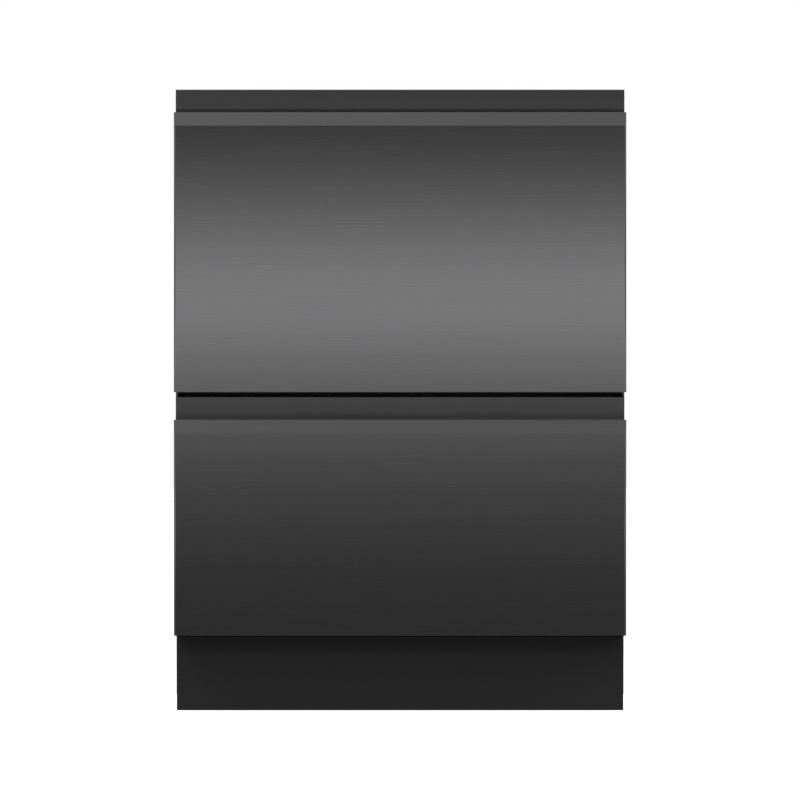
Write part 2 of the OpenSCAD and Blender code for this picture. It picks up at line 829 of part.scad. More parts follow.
module cutlery_basket() {
    z = rack_z(UPPER) + cross_top;
    t = 2;
    cell_w = (basket_w - 4 * t) / 3;
    cell_d = (basket_d - 3 * t) / 2;
    color("#5e6063") translate([basket_x, tub_y + basket_y, z]) difference() {
        cube([basket_w, basket_d, basket_h]);
        for (a = [0 : 2], b = [0 : 1])
            translate([t + a * (cell_w + t), t + b * (cell_d + t), t]) cube([cell_w, cell_d, basket_h]);
    }
}

// ---------- dispenser ----------

box_x0 = dispenser_x - cup_w / 2 - 70;
box_x1 = dispenser_x + cup_w / 2 + 6;
box_h = cup_h + 14;

module dispenser(i) {
    z = drawer_z(i) - cup_drop;
    y = tub_y0 + tub_t;
    color("#f0f0ee") difference() {
        union() {
            block([box_x0, y - tub_t - cup_d, z - box_h / 2], [box_x1, y + 1, z + box_h / 2]);
            block([box_x0 - 6, y, z - box_h / 2 - 6], [box_x1 + cup_w + 6, y + flange_t, z + box_h / 2 + 6]);
            // rails above and below the sliding door
            for (s = [-1, 1]) block(
                [dispenser_x - cup_w / 2 - 4, y + 1, z + s * (door_h / 2 + 2.3) - 2],
                [box_x1 + cup_w + 6, y + flange_t + door_t + 1, z + s * (door_h / 2 + 2.3) + 2]);
        }
        block([dispenser_x - cup_w / 2, y - tub_t - cup_d + 2.5, z - cup_h / 2],
              [dispenser_x + cup_w / 2, y + flange_t + 1, z + cup_h / 2]);
        rod_y(y - 12, y + flange_t + 1, cap_x, z, shaft_r + fit);
    }
}

door_h = cup_h + 6;

module dispenser_door(i) {
    z = drawer_z(i) - cup_drop;
    y = tub_y0 + tub_t + flange_t + hinge_gap;
    left = dispenser_x - cup_w / 2 - 3;
    color("#d9dad8") {
        block([left, y, z - door_h / 2], [dispenser_x + cup_w / 2 + 3, y + door_t, z + door_h / 2]);
        block([left + 9, y + door_t - 1, z - 12], [left + 15, y + door_t + 3, z + 12]);
    }
}

module rinse_cap(i) {
    z = drawer_z(i) - cup_drop;
    y = tub_y0 + tub_t + flange_t + hinge_gap;
    color("#5b83a8") {
        rod_y(y, y + 4, cap_x, z, cap_r);
        rod_y(y - 12, y + 1, cap_x, z, shaft_r);
        block([cap_x - cap_r + 2, y + 3, z - 2], [cap_x + cap_r - 2, y + 8, z + 2]);
    }
}

// ---------- services and feet ----------

module inlet_valve() {
    y = back_y - cab_t;
    color("#e9e9e6") difference() {
        union() {
            rod_y(y - 4, unit_d / 2, inlet_x, service_z, inlet_r);
            rod_y(y - 4, y, inlet_x, service_z, inlet_r + 6);
            rod_y(back_y, back_y + nut_t, inlet_x, service_z, inlet_r + 4);
            block([inlet_x - 18, y - 34, service_z - 18], [inlet_x + 18, y - 4, service_z + 18]);
            rod_x(inlet_x - 17, inlet_x + 40, y - 20, service_z, 11);
        }
        rod_y(y - 10, unit_d / 2 + 1, inlet_x, service_z, inlet_r - 3);
    }
}

module drain_spigots() {
    y = back_y - cab_t;
    color("#2e2e30") for (x = drain_x) difference() {
        union() {
            rod_y(y - 30, unit_d / 2, x, service_z, drain_r);
            rod_y(y - 4, y, x, service_z, drain_r + 5);
            rod_y(back_y, back_y + nut_t, x, service_z, drain_r + 4);
        }
        rod_y(y - 31, unit_d / 2 + 1, x, service_z, drain_r - 2);
    }
}

module mains_gland() {
    y = back_y - cab_t;
    color("#202022") difference() {
        union() {
            rod_y(y - 8, unit_d / 2 - 1, gland_x, service_z, cord_r + 4);
            rod_y(y - 8, y, gland_x, service_z, cord_r + 7);
            rod_y(back_y, back_y + nut_t, gland_x, service_z, cord_r + 7);
        }
        rod_y(y - 9, unit_d / 2, gland_x, service_z, cord_r);
    }
}

module control_module() {
    size = module_size;
    plug = size / 4;
    color("#36383c") translate([-size.x, back_y - cab_t - size.y, drawer_z(LOWER) + size.z / 3]) {
        cube(size);
        for (x = [plug.x / 2, plug.x * 2]) translate([x, 1 - plug.y, plug.z / 2]) cube(plug);
    }
}

foot_places = [for (y = [front_foot_y, rear_foot_y], x = [-1, 1]) [x * (cab_x - foot_in_x), y]];

module foot(k) {
    p = foot_places[k];
    color("#2a2a2a") translate([p.x, p.y, 0]) {
        cylinder(h = 8, r = foot_r);
        cylinder(h = 16, r = stem_r + 4, $fn = 6);
        cylinder(h = 8 + stem_l, r = stem_r);
    }
}

cabinet_left_side();
cabinet_right_side();
cabinet_top();
cabinet_back();
base_tray();
middle_rail();
outer_runners();
lid_lift_units();
control_module();
inlet_valve();
drain_spigots();
mains_gland();
toe_kick();
foot(0);  // foot_front_left
foot(1);  // foot_front_right
foot(2);  // foot_rear_left
foot(3);  // foot_rear_right
front_panel(LOWER);  // lower_front_panel
front_liner(LOWER);  // lower_front_liner
control_fascia(LOWER);  // lower_control_fascia
display_window(LOWER);  // lower_display_window
button(LOWER, 0);  // lower_power_button
button(LOWER, 1);  // lower_programme_button
button(LOWER, 2);  // lower_start_button
tub(LOWER);  // lower_tub
inner_runners(LOWER);  // lower_inner_runners
middle_runners(LOWER);  // lower_middle_runners
filter_plate(LOWER);  // lower_filter_plate
spray_arm(LOWER);  // lower_spray_arm
pump_rotor(LOWER);  // lower_pump_rotor
pump_housing(LOWER);  // lower_pump_housing
lower_rack();
dispenser(LOWER);  // lower_dispenser
dispenser_door(LOWER);  // lower_dispenser_door
rinse_cap(LOWER);  // lower_rinse_cap
lid(LOWER);  // lower_lid
lid_seal(LOWER);  // lower_lid_seal
front_panel(UPPER);  // upper_front_panel
front_liner(UPPER);  // upper_front_liner
control_fascia(UPPER);  // upper_control_fascia
display_window(UPPER);  // upper_display_window
button(UPPER, 0);  // upper_power_button
button(UPPER, 1);  // upper_programme_button
button(UPPER, 2);  // upper_start_button
tub(UPPER);  // upper_tub
inner_runners(UPPER);  // upper_inner_runners
middle_runners(UPPER);  // upper_middle_runners
filter_plate(UPPER);  // upper_filter_plate
spray_arm(UPPER);  // upper_spray_arm
pump_rotor(UPPER);  // upper_pump_rotor
pump_housing(UPPER);  // upper_pump_housing
upper_rack();
dispenser(UPPER);  // upper_dispenser
dispenser_door(UPPER);  // upper_dispenser_door
rinse_cap(UPPER);  // upper_rinse_cap
lid(UPPER);  // upper_lid
lid_seal(UPPER);  // upper_lid_seal
tine_row();
cup_shelf();
cutlery_basket();
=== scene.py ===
import json
import math

import bmesh
import bpy
from mathutils import Matrix, Vector


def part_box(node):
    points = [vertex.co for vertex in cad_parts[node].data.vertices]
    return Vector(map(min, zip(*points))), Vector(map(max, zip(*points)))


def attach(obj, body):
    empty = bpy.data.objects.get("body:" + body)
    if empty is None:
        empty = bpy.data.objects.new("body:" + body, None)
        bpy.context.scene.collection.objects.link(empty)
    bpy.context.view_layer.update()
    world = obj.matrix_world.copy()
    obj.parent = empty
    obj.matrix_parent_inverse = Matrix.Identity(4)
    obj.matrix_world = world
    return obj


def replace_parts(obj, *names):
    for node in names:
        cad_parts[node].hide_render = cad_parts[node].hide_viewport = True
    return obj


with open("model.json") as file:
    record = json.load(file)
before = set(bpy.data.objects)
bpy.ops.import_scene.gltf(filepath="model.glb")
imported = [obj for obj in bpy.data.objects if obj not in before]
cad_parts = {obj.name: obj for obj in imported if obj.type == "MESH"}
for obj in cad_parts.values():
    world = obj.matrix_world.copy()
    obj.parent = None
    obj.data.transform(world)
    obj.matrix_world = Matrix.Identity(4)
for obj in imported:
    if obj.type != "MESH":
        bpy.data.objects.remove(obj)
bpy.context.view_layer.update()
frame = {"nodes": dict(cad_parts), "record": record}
scene = bpy.context.scene
NODES = frame["nodes"]
SLOT = {row["node"]: row["material_slot"] for row in frame["record"]["subparts"]}
BODY = {node: body for body, nodes in frame["record"]["behaviour"]["bodies"].items() for node in nodes}
DRAWERS = ("lower", "upper")
SIDES = (("left", -1), ("right", 1))
UP = (0, 0, 1)
BACK = (0, 1, 0)

# ---- places that the dressed pieces share with the CAD, in metres ----

TOP = {"lower": 0.4168, "upper": 0.824}
FRONT_Y = -0.2865
BACK_Y = 0.272
TUB_Y = -0.0035

# How far below its drawer's top each of these lies
RIM_DROP = 0.029
PANEL_DROP = 0.0305
RUNNER_DROP = 0.149
RACK_DROP = 0.232
WING_TOP_DROP = 0.2447
HUB_DROP = 0.2577
FILTER_DROP = 0.261
TUB_FLOOR_DROP = 0.266

LIP_HEIGHT = 0.018
MODULE_PLUG_REACH = 0.0095

# Fittings at the bottom of the cabinet's back
SERVICE_Z = 0.09
INLET_X = -0.2
LEFT_DRAIN_X = 0.15
RIGHT_DRAIN_X = 0.19
GLAND_X = 0.25

# Rack wires, measured from the middle of the rack's floor
WIRE = 0.002
WIRE_PITCH = 0.062
RACK_HALF_X = 0.262
RACK_HALF_Y = 0.189
RACK_HEIGHT = 0.168
UPRIGHT_IN = 0.0036
TINES = 9
TINE_X0 = -0.228
TINE_PITCH = 0.026
TINE_LENGTH = 0.085


# ---- finishes ----

# Streaks and clouds are counted per metre
STREAKS_ALONG = 6
STREAKS_ACROSS = 1800
STREAK_DEPTH = 6e-7
CLOUDS = 14.0
DISPLAY_CELL = 0.007
CELL_GAP = 0.0006


def add_node(tree, kind, **settings):
    """A node with its settings. A named input takes a value, or another node's output."""
    node = tree.nodes.new(kind)
    for key, value in settings.items():
        label = key.replace("_", " ")
        if hasattr(node, key):
            setattr(node, key, value)
        elif isinstance(value, bpy.types.NodeSocket):
            tree.links.new(value, node.inputs[label])
        else:
            node.inputs[label].default_value = value
    return node


def blank_finish(name, colour, roughness, metallic=0.0):
    """A plain Principled finish: the base for every finish below."""
    finish = bpy.data.materials.new(name)
    finish.use_nodes = True
    tree = finish.node_tree
    shader = tree.nodes["Principled BSDF"]
    shader.inputs["Base Color"].default_value = (*colour, 1)
    shader.inputs["Roughness"].default_value = roughness
    shader.inputs["Metallic"].default_value = metallic
    return finish, tree, shader


def object_pattern(tree, stretch=(1, 1, 1)):
    """Object coordinates, stretched for a pattern."""
    place = add_node(tree, "ShaderNodeTexCoord")
    mapping = add_node(tree, "ShaderNodeMapping", Scale=stretch, Vector=place.outputs["Object"])
    return mapping.outputs["Vector"]


def vary_roughness(tree, shader, pattern, middle, spread):
    """Turns a pattern's 0 to 1 into a range of roughness."""
    ranged = add_node(tree, "ShaderNodeMapRange", Value=pattern, To_Min=middle - spread,
                      To_Max=middle + spread)
    tree.links.new(ranged.outputs["Result"], shader.inputs["Roughness"])


def tint(tree, shader, pattern, colour, amount):
    """Lightens and darkens the base colour by the pattern."""
    ramp = add_node(tree, "ShaderNodeValToRGB", Fac=pattern)
    ramp.color_ramp.elements[0].color = (*[c * (1 - amount) for c in colour], 1)
    ramp.color_ramp.elements[1].color = (*[c * (1 + amount) for c in colour], 1)
    tree.links.new(ramp.outputs["Color"], shader.inputs["Base Color"])


def emboss(tree, shader, pattern, depth):
    """Bump from the pattern, in metres."""
    bump = add_node(tree, "ShaderNodeBump", Strength=1.0, Distance=depth, Height=pattern)
    tree.links.new(bump.outputs["Normal"], shader.inputs["Normal"])


def brushed_steel(name, colour, roughness, along="X", streak=0.03):
    """Steel with fine streaks along one axis."""
    finish, tree, shader = blank_finish(name, colour, roughness, 1.0)
    shader.inputs["Anisotropic"].default_value = 0.5
    stretch = [STREAKS_ALONG if axis == along else STREAKS_ACROSS for axis in "XYZ"]
    streaks = add_node(tree, "ShaderNodeTexNoise", Scale=1.0, Detail=3.0, Roughness=0.6,
                       Vector=object_pattern(tree, stretch)).outputs["Fac"]
    tint(tree, shader, streaks, colour, streak)
    vary_roughness(tree, shader, streaks, roughness, 0.03)
    emboss(tree, shader, streaks, STREAK_DEPTH)
    return finish


def spangled_sheet(name, colour, roughness, spangle):
    """Galvanised steel, with crystals of a few millimetres."""
    finish, tree, shader = blank_finish(name, colour, roughness, 1.0)
    coords = object_pattern(tree)
    cloud = add_node(tree, "ShaderNodeTexNoise", Scale=0.25 / spangle, Detail=2.0, Vector=coords)
    blur = add_node(tree, "ShaderNodeMix", data_type="RGBA", blend_type="LINEAR_LIGHT")
    blur.inputs["Factor"].default_value = 0.002  # its inputs 6 and 7 and output 2 hold colours
    tree.links.new(coords, blur.inputs[6])
    tree.links.new(cloud.outputs["Color"], blur.inputs[7])
    crystals = add_node(tree, "ShaderNodeTexVoronoi", Scale=1 / spangle, Vector=blur.outputs[2])
    shade = add_node(tree, "ShaderNodeSeparateColor", Color=crystals.outputs["Color"])
    tint(tree, shader, shade.outputs["Red"], colour, 0.08)
    vary_roughness(tree, shader, shade.outputs["Green"], roughness, 0.05)
    return finish


def moulded_plastic(name, colour, roughness, grain=0.0006, depth=6e-6, shine=0.5):
    """Injection-moulded plastic with a fine grain and a faint cloudiness."""
    finish, tree, shader = blank_finish(name, colour, roughness)
    shader.inputs["Specular IOR Level"].default_value = shine
    coords = object_pattern(tree)
    fine = add_node(tree, "ShaderNodeTexNoise", Scale=1 / grain, Detail=2.0, Vector=coords)
    wide = add_node(tree, "ShaderNodeTexNoise", Scale=CLOUDS, Detail=2.0, Vector=coords)
    tint(tree, shader, wide.outputs["Fac"], colour, 0.03)
    vary_roughness(tree, shader, wide.outputs["Fac"], roughness, 0.04)
    emboss(tree, shader, fine.outputs["Fac"], depth)
    return finish


def smoked_window(name, colour):
    """Polished dark window over an unlit display."""
    finish, tree, shader = blank_finish(name, colour, 0.06)
    shader.inputs["Specular IOR Level"].default_value = 0.3
    cells = add_node(tree, "ShaderNodeTexBrick", Scale=1.0, Color1=(*colour, 1), Color2=(*colour, 1),
                     Mortar=(*[c * 1.8 for c in colour], 1), Mortar_Size=CELL_GAP, Brick_Width=DISPLAY_CELL,
                     Row_Height=DISPLAY_CELL, Vector=object_pattern(tree))
    tree.links.new(cells.outputs["Color"], shader.inputs["Base Color"])
    return finish


FINISH = {
    "galvanised_sheet": spangled_sheet("galvanised_sheet", (0.38, 0.39, 0.4), 0.4, 0.006),
    "display_glass": smoked_window("display_glass", (0.01, 0.01, 0.012)),
}
for name, *given in (
    ("dark_steel", (0.095, 0.095, 0.097), 0.28),
    ("runner_steel", (0.42, 0.425, 0.43), 0.34, "Y", 0.05),
    ("button_metal", (0.35, 0.35, 0.36), 0.28),
    ("stainless", (0.5, 0.5, 0.5), 0.3, "X", 0.04),
):
    FINISH[name] = brushed_steel(name, *given)
for name, *given in (
    ("toe_black", (0.014, 0.014, 0.0145), 0.5, 0.0004, 3e-6, 0.13),
    ("dark_moulding", (0.035, 0.036, 0.038), 0.5),
    ("foot_moulding", (0.03, 0.03, 0.03), 0.55),
    ("white_moulding", (0.72, 0.72, 0.7), 0.38),
    ("lid_moulding", (0.5, 0.51, 0.51), 0.4),
    ("seal_rubber", (0.045, 0.045, 0.047), 0.62, 0.0003, 4e-6),
    ("tub_moulding", (0.56, 0.57, 0.575), 0.34, 0.0009, 5e-6),
    ("spray_moulding", (0.3, 0.31, 0.32), 0.36),
    ("pump_moulding", (0.06, 0.062, 0.066), 0.45),
    ("coated_wire", (0.14, 0.145, 0.15), 0.3, 0.0012, 8e-6),
    ("door_moulding", (0.58, 0.59, 0.59), 0.35),
    ("cap_moulding", (0.08, 0.2, 0.38), 0.25, 0.0006, 2e-6),
    ("basket_moulding", (0.11, 0.115, 0.12), 0.42),
):
    FINISH[name] = moulded_plastic(name, *given)
# Painted shade: a near-black finish for the discs and slits that stand in for holes and the shade inside them
PAINTED_HOLE_SHADE = blank_finish("painted_hole_shade", (0.012, 0.012, 0.013), 0.7)[0]
# Painted shade: a near-black foam for the seal in the gap between the drawers, dark enough that the gap reads
# as deep shade
GAP_SHADE_FOAM = moulded_plastic("gap_shade_foam", (0.006, 0.006, 0.0062), 0.85, shine=0.05)
# Partly painted shade: the fascia strip's steel is the panels' dark steel made rougher, and darker to stand
# in for the shade of its recess behind the lip
FASCIA_SHADED_STEEL = brushed_steel("fascia_shaded_steel", (0.074, 0.074, 0.076), 0.42)
SCREW_STEEL = brushed_steel("screw_steel", (0.42, 0.42, 0.43), 0.3, "Z", 0.03)

for node, slot in SLOT.items():
    NODES[node].data.materials.clear()
    NODES[node].data.materials.append(FINISH[slot])


# ---- meshes ----

EVEN_SHADING = ("WEIGHTED_NORMAL", {"keep_sharp": True, "weight": 80})


def in_scene(name, data):
    """A new object for a mesh, lamp or camera."""
    thing = bpy.data.objects.new(name, data)
    scene.collection.objects.link(thing)
    return thing


def soften(mesh, sharp_degrees=38):
    """Smooth shading, broken at edges sharper than the given angle."""
    shape = bmesh.new()
    shape.from_mesh(mesh)
    limit = math.radians(sharp_degrees)
    for face in shape.faces:
        face.smooth = True
    for edge in shape.edges:
        edge.smooth = len(edge.link_faces) == 2 and edge.calc_face_angle(0) < limit
    shape.to_mesh(mesh)
    shape.free()


def settle(piece, *modifiers):
    """Adds modifiers, given as (kind, settings), and turns the result into the piece's own mesh."""
    for kind, settings in modifiers:
        modifier = piece.modifiers.new(kind.lower(), kind)
        for key, value in settings.items():
            setattr(modifier, key, value)
    seen = piece.evaluated_get(bpy.context.evaluated_depsgraph_get())
    mesh = bpy.data.meshes.new_from_object(seen)
    piece.modifiers.clear()
    piece.data = mesh
    mesh.name = piece.name


def piece_from(shape, name, slot, finish=None, sharp_degrees=38, weighted=True):
    """A Blender piece from a bmesh, with the finish of a material slot."""
    mesh = bpy.data.meshes.new(name)
    shape.normal_update()
    shape.to_mesh(mesh)
    shape.free()
    mesh.materials.append(finish or FINISH[slot])
    soften(mesh, sharp_degrees)
    piece = in_scene(name, mesh)
    if weighted:
        settle(piece, EVEN_SHADING)
    return piece


def welded(node):
    """A merged copy of a CAD node, with its flat triangles joined into whole faces."""
    shape = bmesh.new()
    shape.from_mesh(NODES[node].data)
    bmesh.ops.remove_doubles(shape, verts=shape.verts, dist=3e-6)
    bmesh.ops.dissolve_limit(shape, angle_limit=math.radians(0.7), verts=shape.verts, edges=shape.edges)
    return shape


def round_edges(shape, width, steps=2, sharper=28, where=lambda a, b: True, inner=False):
    """Rounds the outer edges (or the inner ones) that are sharp and where the test says."""
    limit = math.radians(sharper)
    chosen = [edge for edge in shape.edges
              if len(edge.link_faces) == 2 and edge.calc_face_angle(0) > limit
              and edge.is_convex != inner and where(edge.verts[0].co, edge.verts[1].co)]
    if chosen:
        bmesh.ops.bevel(shape, geom=chosen, offset=width, offset_type="OFFSET", segments=steps,
                        profile=0.5, affect="EDGES", clamp_overlap=True)


def stand_in(piece, node):
    """Puts a piece in a node's place, on the node's own body."""
    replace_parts(piece, node)
    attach(piece, BODY[node])


def refine(node, width, steps):
    """Stands a node's rounded copy in for it."""
    shape = welded(node)
    round_edges(shape, width, steps)
    stand_in(piece_from(shape, node + "_rounded", SLOT[node]), node)


# ---- shapes made here ----

def around(count, start=0.0):
    """Cosines and sines of evenly spaced angles."""
    angles = [k * math.tau / count + start for k in range(count)]
    return [(math.cos(angle), math.sin(angle)) for angle in angles]


def turned(profile, steps=48, closed=False):
    """A shape turned about Z from (radius, height) points, listed from the bottom up on the outside."""
    shape = bmesh.new()
    rings = []
    for radius, height in profile:
        if radius < 1e-7:
            rings.append([shape.verts.new((0, 0, height))] * steps)
        else:
            rings.append([shape.verts.new((radius * c, radius * s, height)) for c, s in around(steps)])
    pairs = list(zip(rings, rings[1:])) + ([(rings[-1], rings[0])] if closed else [])
    for low, high in pairs:
        for k in range(steps):
            corners = []
            for vertex in (low[k], low[k - steps + 1], high[k - steps + 1], high[k]):
                if vertex not in corners:
                    corners.append(vertex)
            if len(corners) > 2:
                shape.faces.new(corners)
    return shape


def lofted(sections):
    """A closed solid through rings of points, with flat ends."""
    shape = bmesh.new()
    rings = [[shape.verts.new(point) for point in section] for section in sections]
    for low, high in zip(rings, rings[1:]):
        for k in range(len(low)):
            shape.faces.new((low[k - 1], low[k], high[k], high[k - 1]))
    shape.faces.new(rings[0])
    shape.faces.new(list(reversed(rings[-1])))
    bmesh.ops.recalc_face_normals(shape, faces=shape.faces)
    return shape


def moved(shape, place, turn=None):
    """Puts a shape in its place, turned first."""
    bmesh.ops.transform(shape, matrix=Matrix.Translation(place) @ (turn or Matrix()), verts=shape.verts)
    return shape


def merged(*shapes):
    """Several shapes as one."""
    whole = bmesh.new()
    for shape in shapes:
        mesh = bpy.data.meshes.new("merged")
        shape.to_mesh(mesh)
        shape.free()
        whole.from_mesh(mesh)
        bpy.data.meshes.remove(mesh)
    return whole


CORNER_STEPS = 6


def rounded_loop(u0, v0, u1, v1, radius):
    """Points round a rectangle with round corners, anticlockwise."""
    points = []
    for cu, cv, start in ((u1 - radius, v0 + radius, -90), (u1 - radius, v1 - radius, 0),
                          (u0 + radius, v1 - radius, 90), (u0 + radius, v0 + radius, 180)):
        for k in range(CORNER_STEPS + 1):
            angle = math.radians(start + 90 * k / CORNER_STEPS)
            points.append((cu + radius * math.cos(angle), cv + radius * math.sin(angle)))
    return points


# Inset from a pressed field's rim, and share of its depth reached there
BEAD_SIDE = ((0.0, 0.0), (0.0012, 0.1), (0.0028, 0.5), (0.0044, 0.9), (0.0058, 1.0))
BEAD_DEPTH = 0.0025
SHEET = 0.0012


def pressed_sheet(name, node, outline, beads, holes, to_world, outward):
    """A flat sheet with round-cornered fields pressed in, and round holes."""
    shape = bmesh.new()

    def ring(points, sink):
        """A closed ring of points, sunk into the sheet, and its edges."""
        verts = [shape.verts.new(to_world(u, v, sink)) for u, v in points]
        return verts, [shape.edges.new((verts[k - 1], verts[k])) for k in range(len(verts))]

    rims = ring(outline, 0)[1]
    for u0, v0, u1, v1, radius in beads:
        last = None
        for inset, share in BEAD_SIDE:
            points = rounded_loop(u0 + inset, v0 + inset, u1 - inset, v1 - inset, max(radius - inset, 0.001))
            verts, edges = ring(points, BEAD_DEPTH * share)
            if last is None:
                rims += edges
            else:
                for k in range(len(verts)):
                    shape.faces.new((last[k - 1], last[k], verts[k], verts[k - 1]))
            last = verts
        shape.faces.new(last)
    for u, v, radius in holes:
        rims += ring([(u + radius * c, v + radius * s) for c, s in around(32)], 0)[1]
    bmesh.ops.triangle_fill(shape, use_beauty=True, edges=rims)
    bmesh.ops.recalc_face_normals(shape, faces=shape.faces)
    if sum((f.normal * f.calc_area() for f in shape.faces), Vector()).dot(Vector(outward)) < 0:
        bmesh.ops.reverse_faces(shape, faces=shape.faces)
    sheet = piece_from(shape, name, SLOT[node], weighted=False)
    settle(sheet, ("SOLIDIFY", {"thickness": SHEET, "offset": -1.0}))
    soften(sheet.data, 30)
    settle(sheet, EVEN_SHADING)
    stand_in(sheet, node)


# ---- geometry-node trees for what repeats ----

def new_tree(name, inputs):
    """An empty geometry tree with named inputs, given as {name: value}, and those inputs."""
    tree = bpy.data.node_groups.new(name, "GeometryNodeTree")
    socket = tree.interface.new_socket
    socket("Geometry", in_out="INPUT", socket_type="NodeSocketGeometry")
    for label, value in inputs.items():
        kind = "NodeSocketInt" if isinstance(value, int) else "NodeSocketFloat"
        socket(label, in_out="INPUT", socket_type=kind).default_value = value
    socket("Finish", in_out="INPUT", socket_type="NodeSocketMaterial")
    socket("Geometry", in_out="OUTPUT", socket_type="NodeSocketGeometry")
    return tree, add_node(tree, "NodeGroupInput").outputs


def close_tree(tree, given, source):
    """Ends a tree in Realize Instances and Set Material."""
    real = add_node(tree, "GeometryNodeRealizeInstances", Geometry=source)
    paint = add_node(tree, "GeometryNodeSetMaterial", Geometry=real.outputs[0], Material=given["Finish"])
    result = add_node(tree, "NodeGroupOutput")
    tree.links.new(paint.outputs[0], result.inputs[0])
    return tree


def bent_wire_tree():
    """Round wire along drawn lines, bent with a radius at each corner."""
    tree, given = new_tree("bent_wire", {"Wire Radius": WIRE, "Bend Radius": 0.012, "Bend Points": 5,
                                         "Sides": 10})
    line = add_node(tree, "GeometryNodeMeshToCurve", Mesh=given["Geometry"])
    bend = add_node(tree, "GeometryNodeFilletCurve", mode="POLY", Curve=line.outputs["Curve"],
                    Radius=given["Bend Radius"], Count=given["Bend Points"], Limit_Radius=True)
    ring = add_node(tree, "GeometryNodeCurvePrimitiveCircle", Resolution=given["Sides"],
                    Radius=given["Wire Radius"])
    skin = add_node(tree, "GeometryNodeCurveToMesh", Fill_Caps=True, Curve=bend.outputs["Curve"],
                    Profile_Curve=ring.outputs["Curve"])
    return close_tree(tree, given, skin.outputs["Mesh"])


def per_point(tree, name):
    """A vector that each point carries under a name."""
    return add_node(tree, "GeometryNodeInputNamedAttribute", data_type="FLOAT_VECTOR",
                    Name=name).outputs["Attribute"]


def slat_tree():
    """Boxes at points, each as large as the point's size attribute."""
    tree, given = new_tree("moulded_slats", {})
    cube = add_node(tree, "GeometryNodeMeshCube", Size=(1, 1, 1))
    spread = add_node(tree, "GeometryNodeInstanceOnPoints", Points=given["Geometry"],
                      Instance=cube.outputs["Mesh"], Scale=per_point(tree, "size"))
    return close_tree(tree, given, spread.outputs["Instances"])


def stud_tree(name, inputs, make):
    """One small shape at each point, its Z along the point's facing, turned at random by up to Twist."""
    tree, given = new_tree(name, {**inputs, "Twist": 0.0, "Seed": 4})
    aim = add_node(tree, "FunctionNodeAlignRotationToVector", axis="Z", Vector=per_point(tree, "facing"))
    twist = add_node(tree, "FunctionNodeRandomValue", data_type="FLOAT", Seed=given["Seed"])
    tree.links.new(given["Twist"], twist.inputs[3])  # its inputs 2 and 3 and output 1 hold single numbers
    about = add_node(tree, "ShaderNodeCombineXYZ", Z=twist.outputs[1])
    euler = add_node(tree, "FunctionNodeEulerToRotation", Euler=about.outputs[0])
    turn = add_node(tree, "FunctionNodeRotateRotation", rotation_space="LOCAL", Rotation=aim.outputs[0],
                    Rotate_By=euler.outputs[0])
    spread = add_node(tree, "GeometryNodeInstanceOnPoints", Points=given["Geometry"],
                      Instance=make(tree, given), Rotation=turn.outputs[0])
    return close_tree(tree, given, spread.outputs["Instances"])


def share_of(tree, value, factor):
    """A value times a fixed factor."""
    part = add_node(tree, "ShaderNodeMath", operation="MULTIPLY")
    tree.links.new(value, part.inputs[0])
    part.inputs[1].default_value = factor
    return part.outputs[0]


def screw_head(tree, given):
    """A flanged head: a low cone under a prism with the given number of sides."""
    radius = given["Head Radius"]
    height = given["Head Height"]
    flange = add_node(tree, "GeometryNodeMeshCone", Vertices=20, Radius_Bottom=radius,
                      Radius_Top=share_of(tree, radius, 0.86), Depth=share_of(tree, height, 0.35))
    head = add_node(tree, "GeometryNodeMeshCone", Vertices=given["Sides"], Depth=height,
                    Radius_Bottom=share_of(tree, radius, 0.7), Radius_Top=share_of(tree, radius, 0.62))
    both = add_node(tree, "GeometryNodeJoinGeometry", Geometry=flange.outputs["Mesh"])
    tree.links.new(head.outputs["Mesh"], both.inputs[0])
    return both.outputs[0]


def ball(tree, given):
    """A bearing ball, or a wire's rounded tip."""
    return add_node(tree, "GeometryNodeMeshIcoSphere", Subdivisions=2,
                    Radius=given["Ball Radius"]).outputs["Mesh"]


def hole_disc(tree, given):
    """A dark disc of painted shade that stands in for a punched hole."""
    return add_node(tree, "GeometryNodeMeshCircle", fill_type="NGON", Vertices=10,
                    Radius=given["Hole Radius"]).outputs["Mesh"]


def thread_ridge(tree, given):
    """A helical ridge about Z."""
    radius = given["Thread Radius"]
    coil = add_node(tree, "GeometryNodeCurveSpiral", Resolution=20, Rotations=given["Turns"],
                    Start_Radius=radius, End_Radius=radius, Height=given["Thread Length"])
    ridge = add_node(tree, "GeometryNodeCurvePrimitiveCircle", Resolution=4, Radius=given["Ridge"])
    return add_node(tree, "GeometryNodeCurveToMesh", Fill_Caps=True, Curve=coil.outputs["Curve"],
                    Profile_Curve=ridge.outputs["Curve"]).outputs["Mesh"]


WIRES = bent_wire_tree()
SLATS = slat_tree()
SCREWS = stud_tree("flanged_screws", {"Head Radius": 0.004, "Head Height": 0.0016, "Sides": 6}, screw_head)
BALLS = stud_tree("bearing_balls", {"Ball Radius": 0.002}, ball)
# Dark discs of painted shade where the filter's holes would be
PAINTED_HOLE_SHADES = stud_tree("round_painted_hole_shades", {"Hole Radius": 0.001}, hole_disc)
THREADS = stud_tree("thread_ridges", {"Turns": 8.0, "Thread Radius": 0.005, "Thread Length": 0.02,
                                      "Ridge": 0.0005}, thread_ridge)


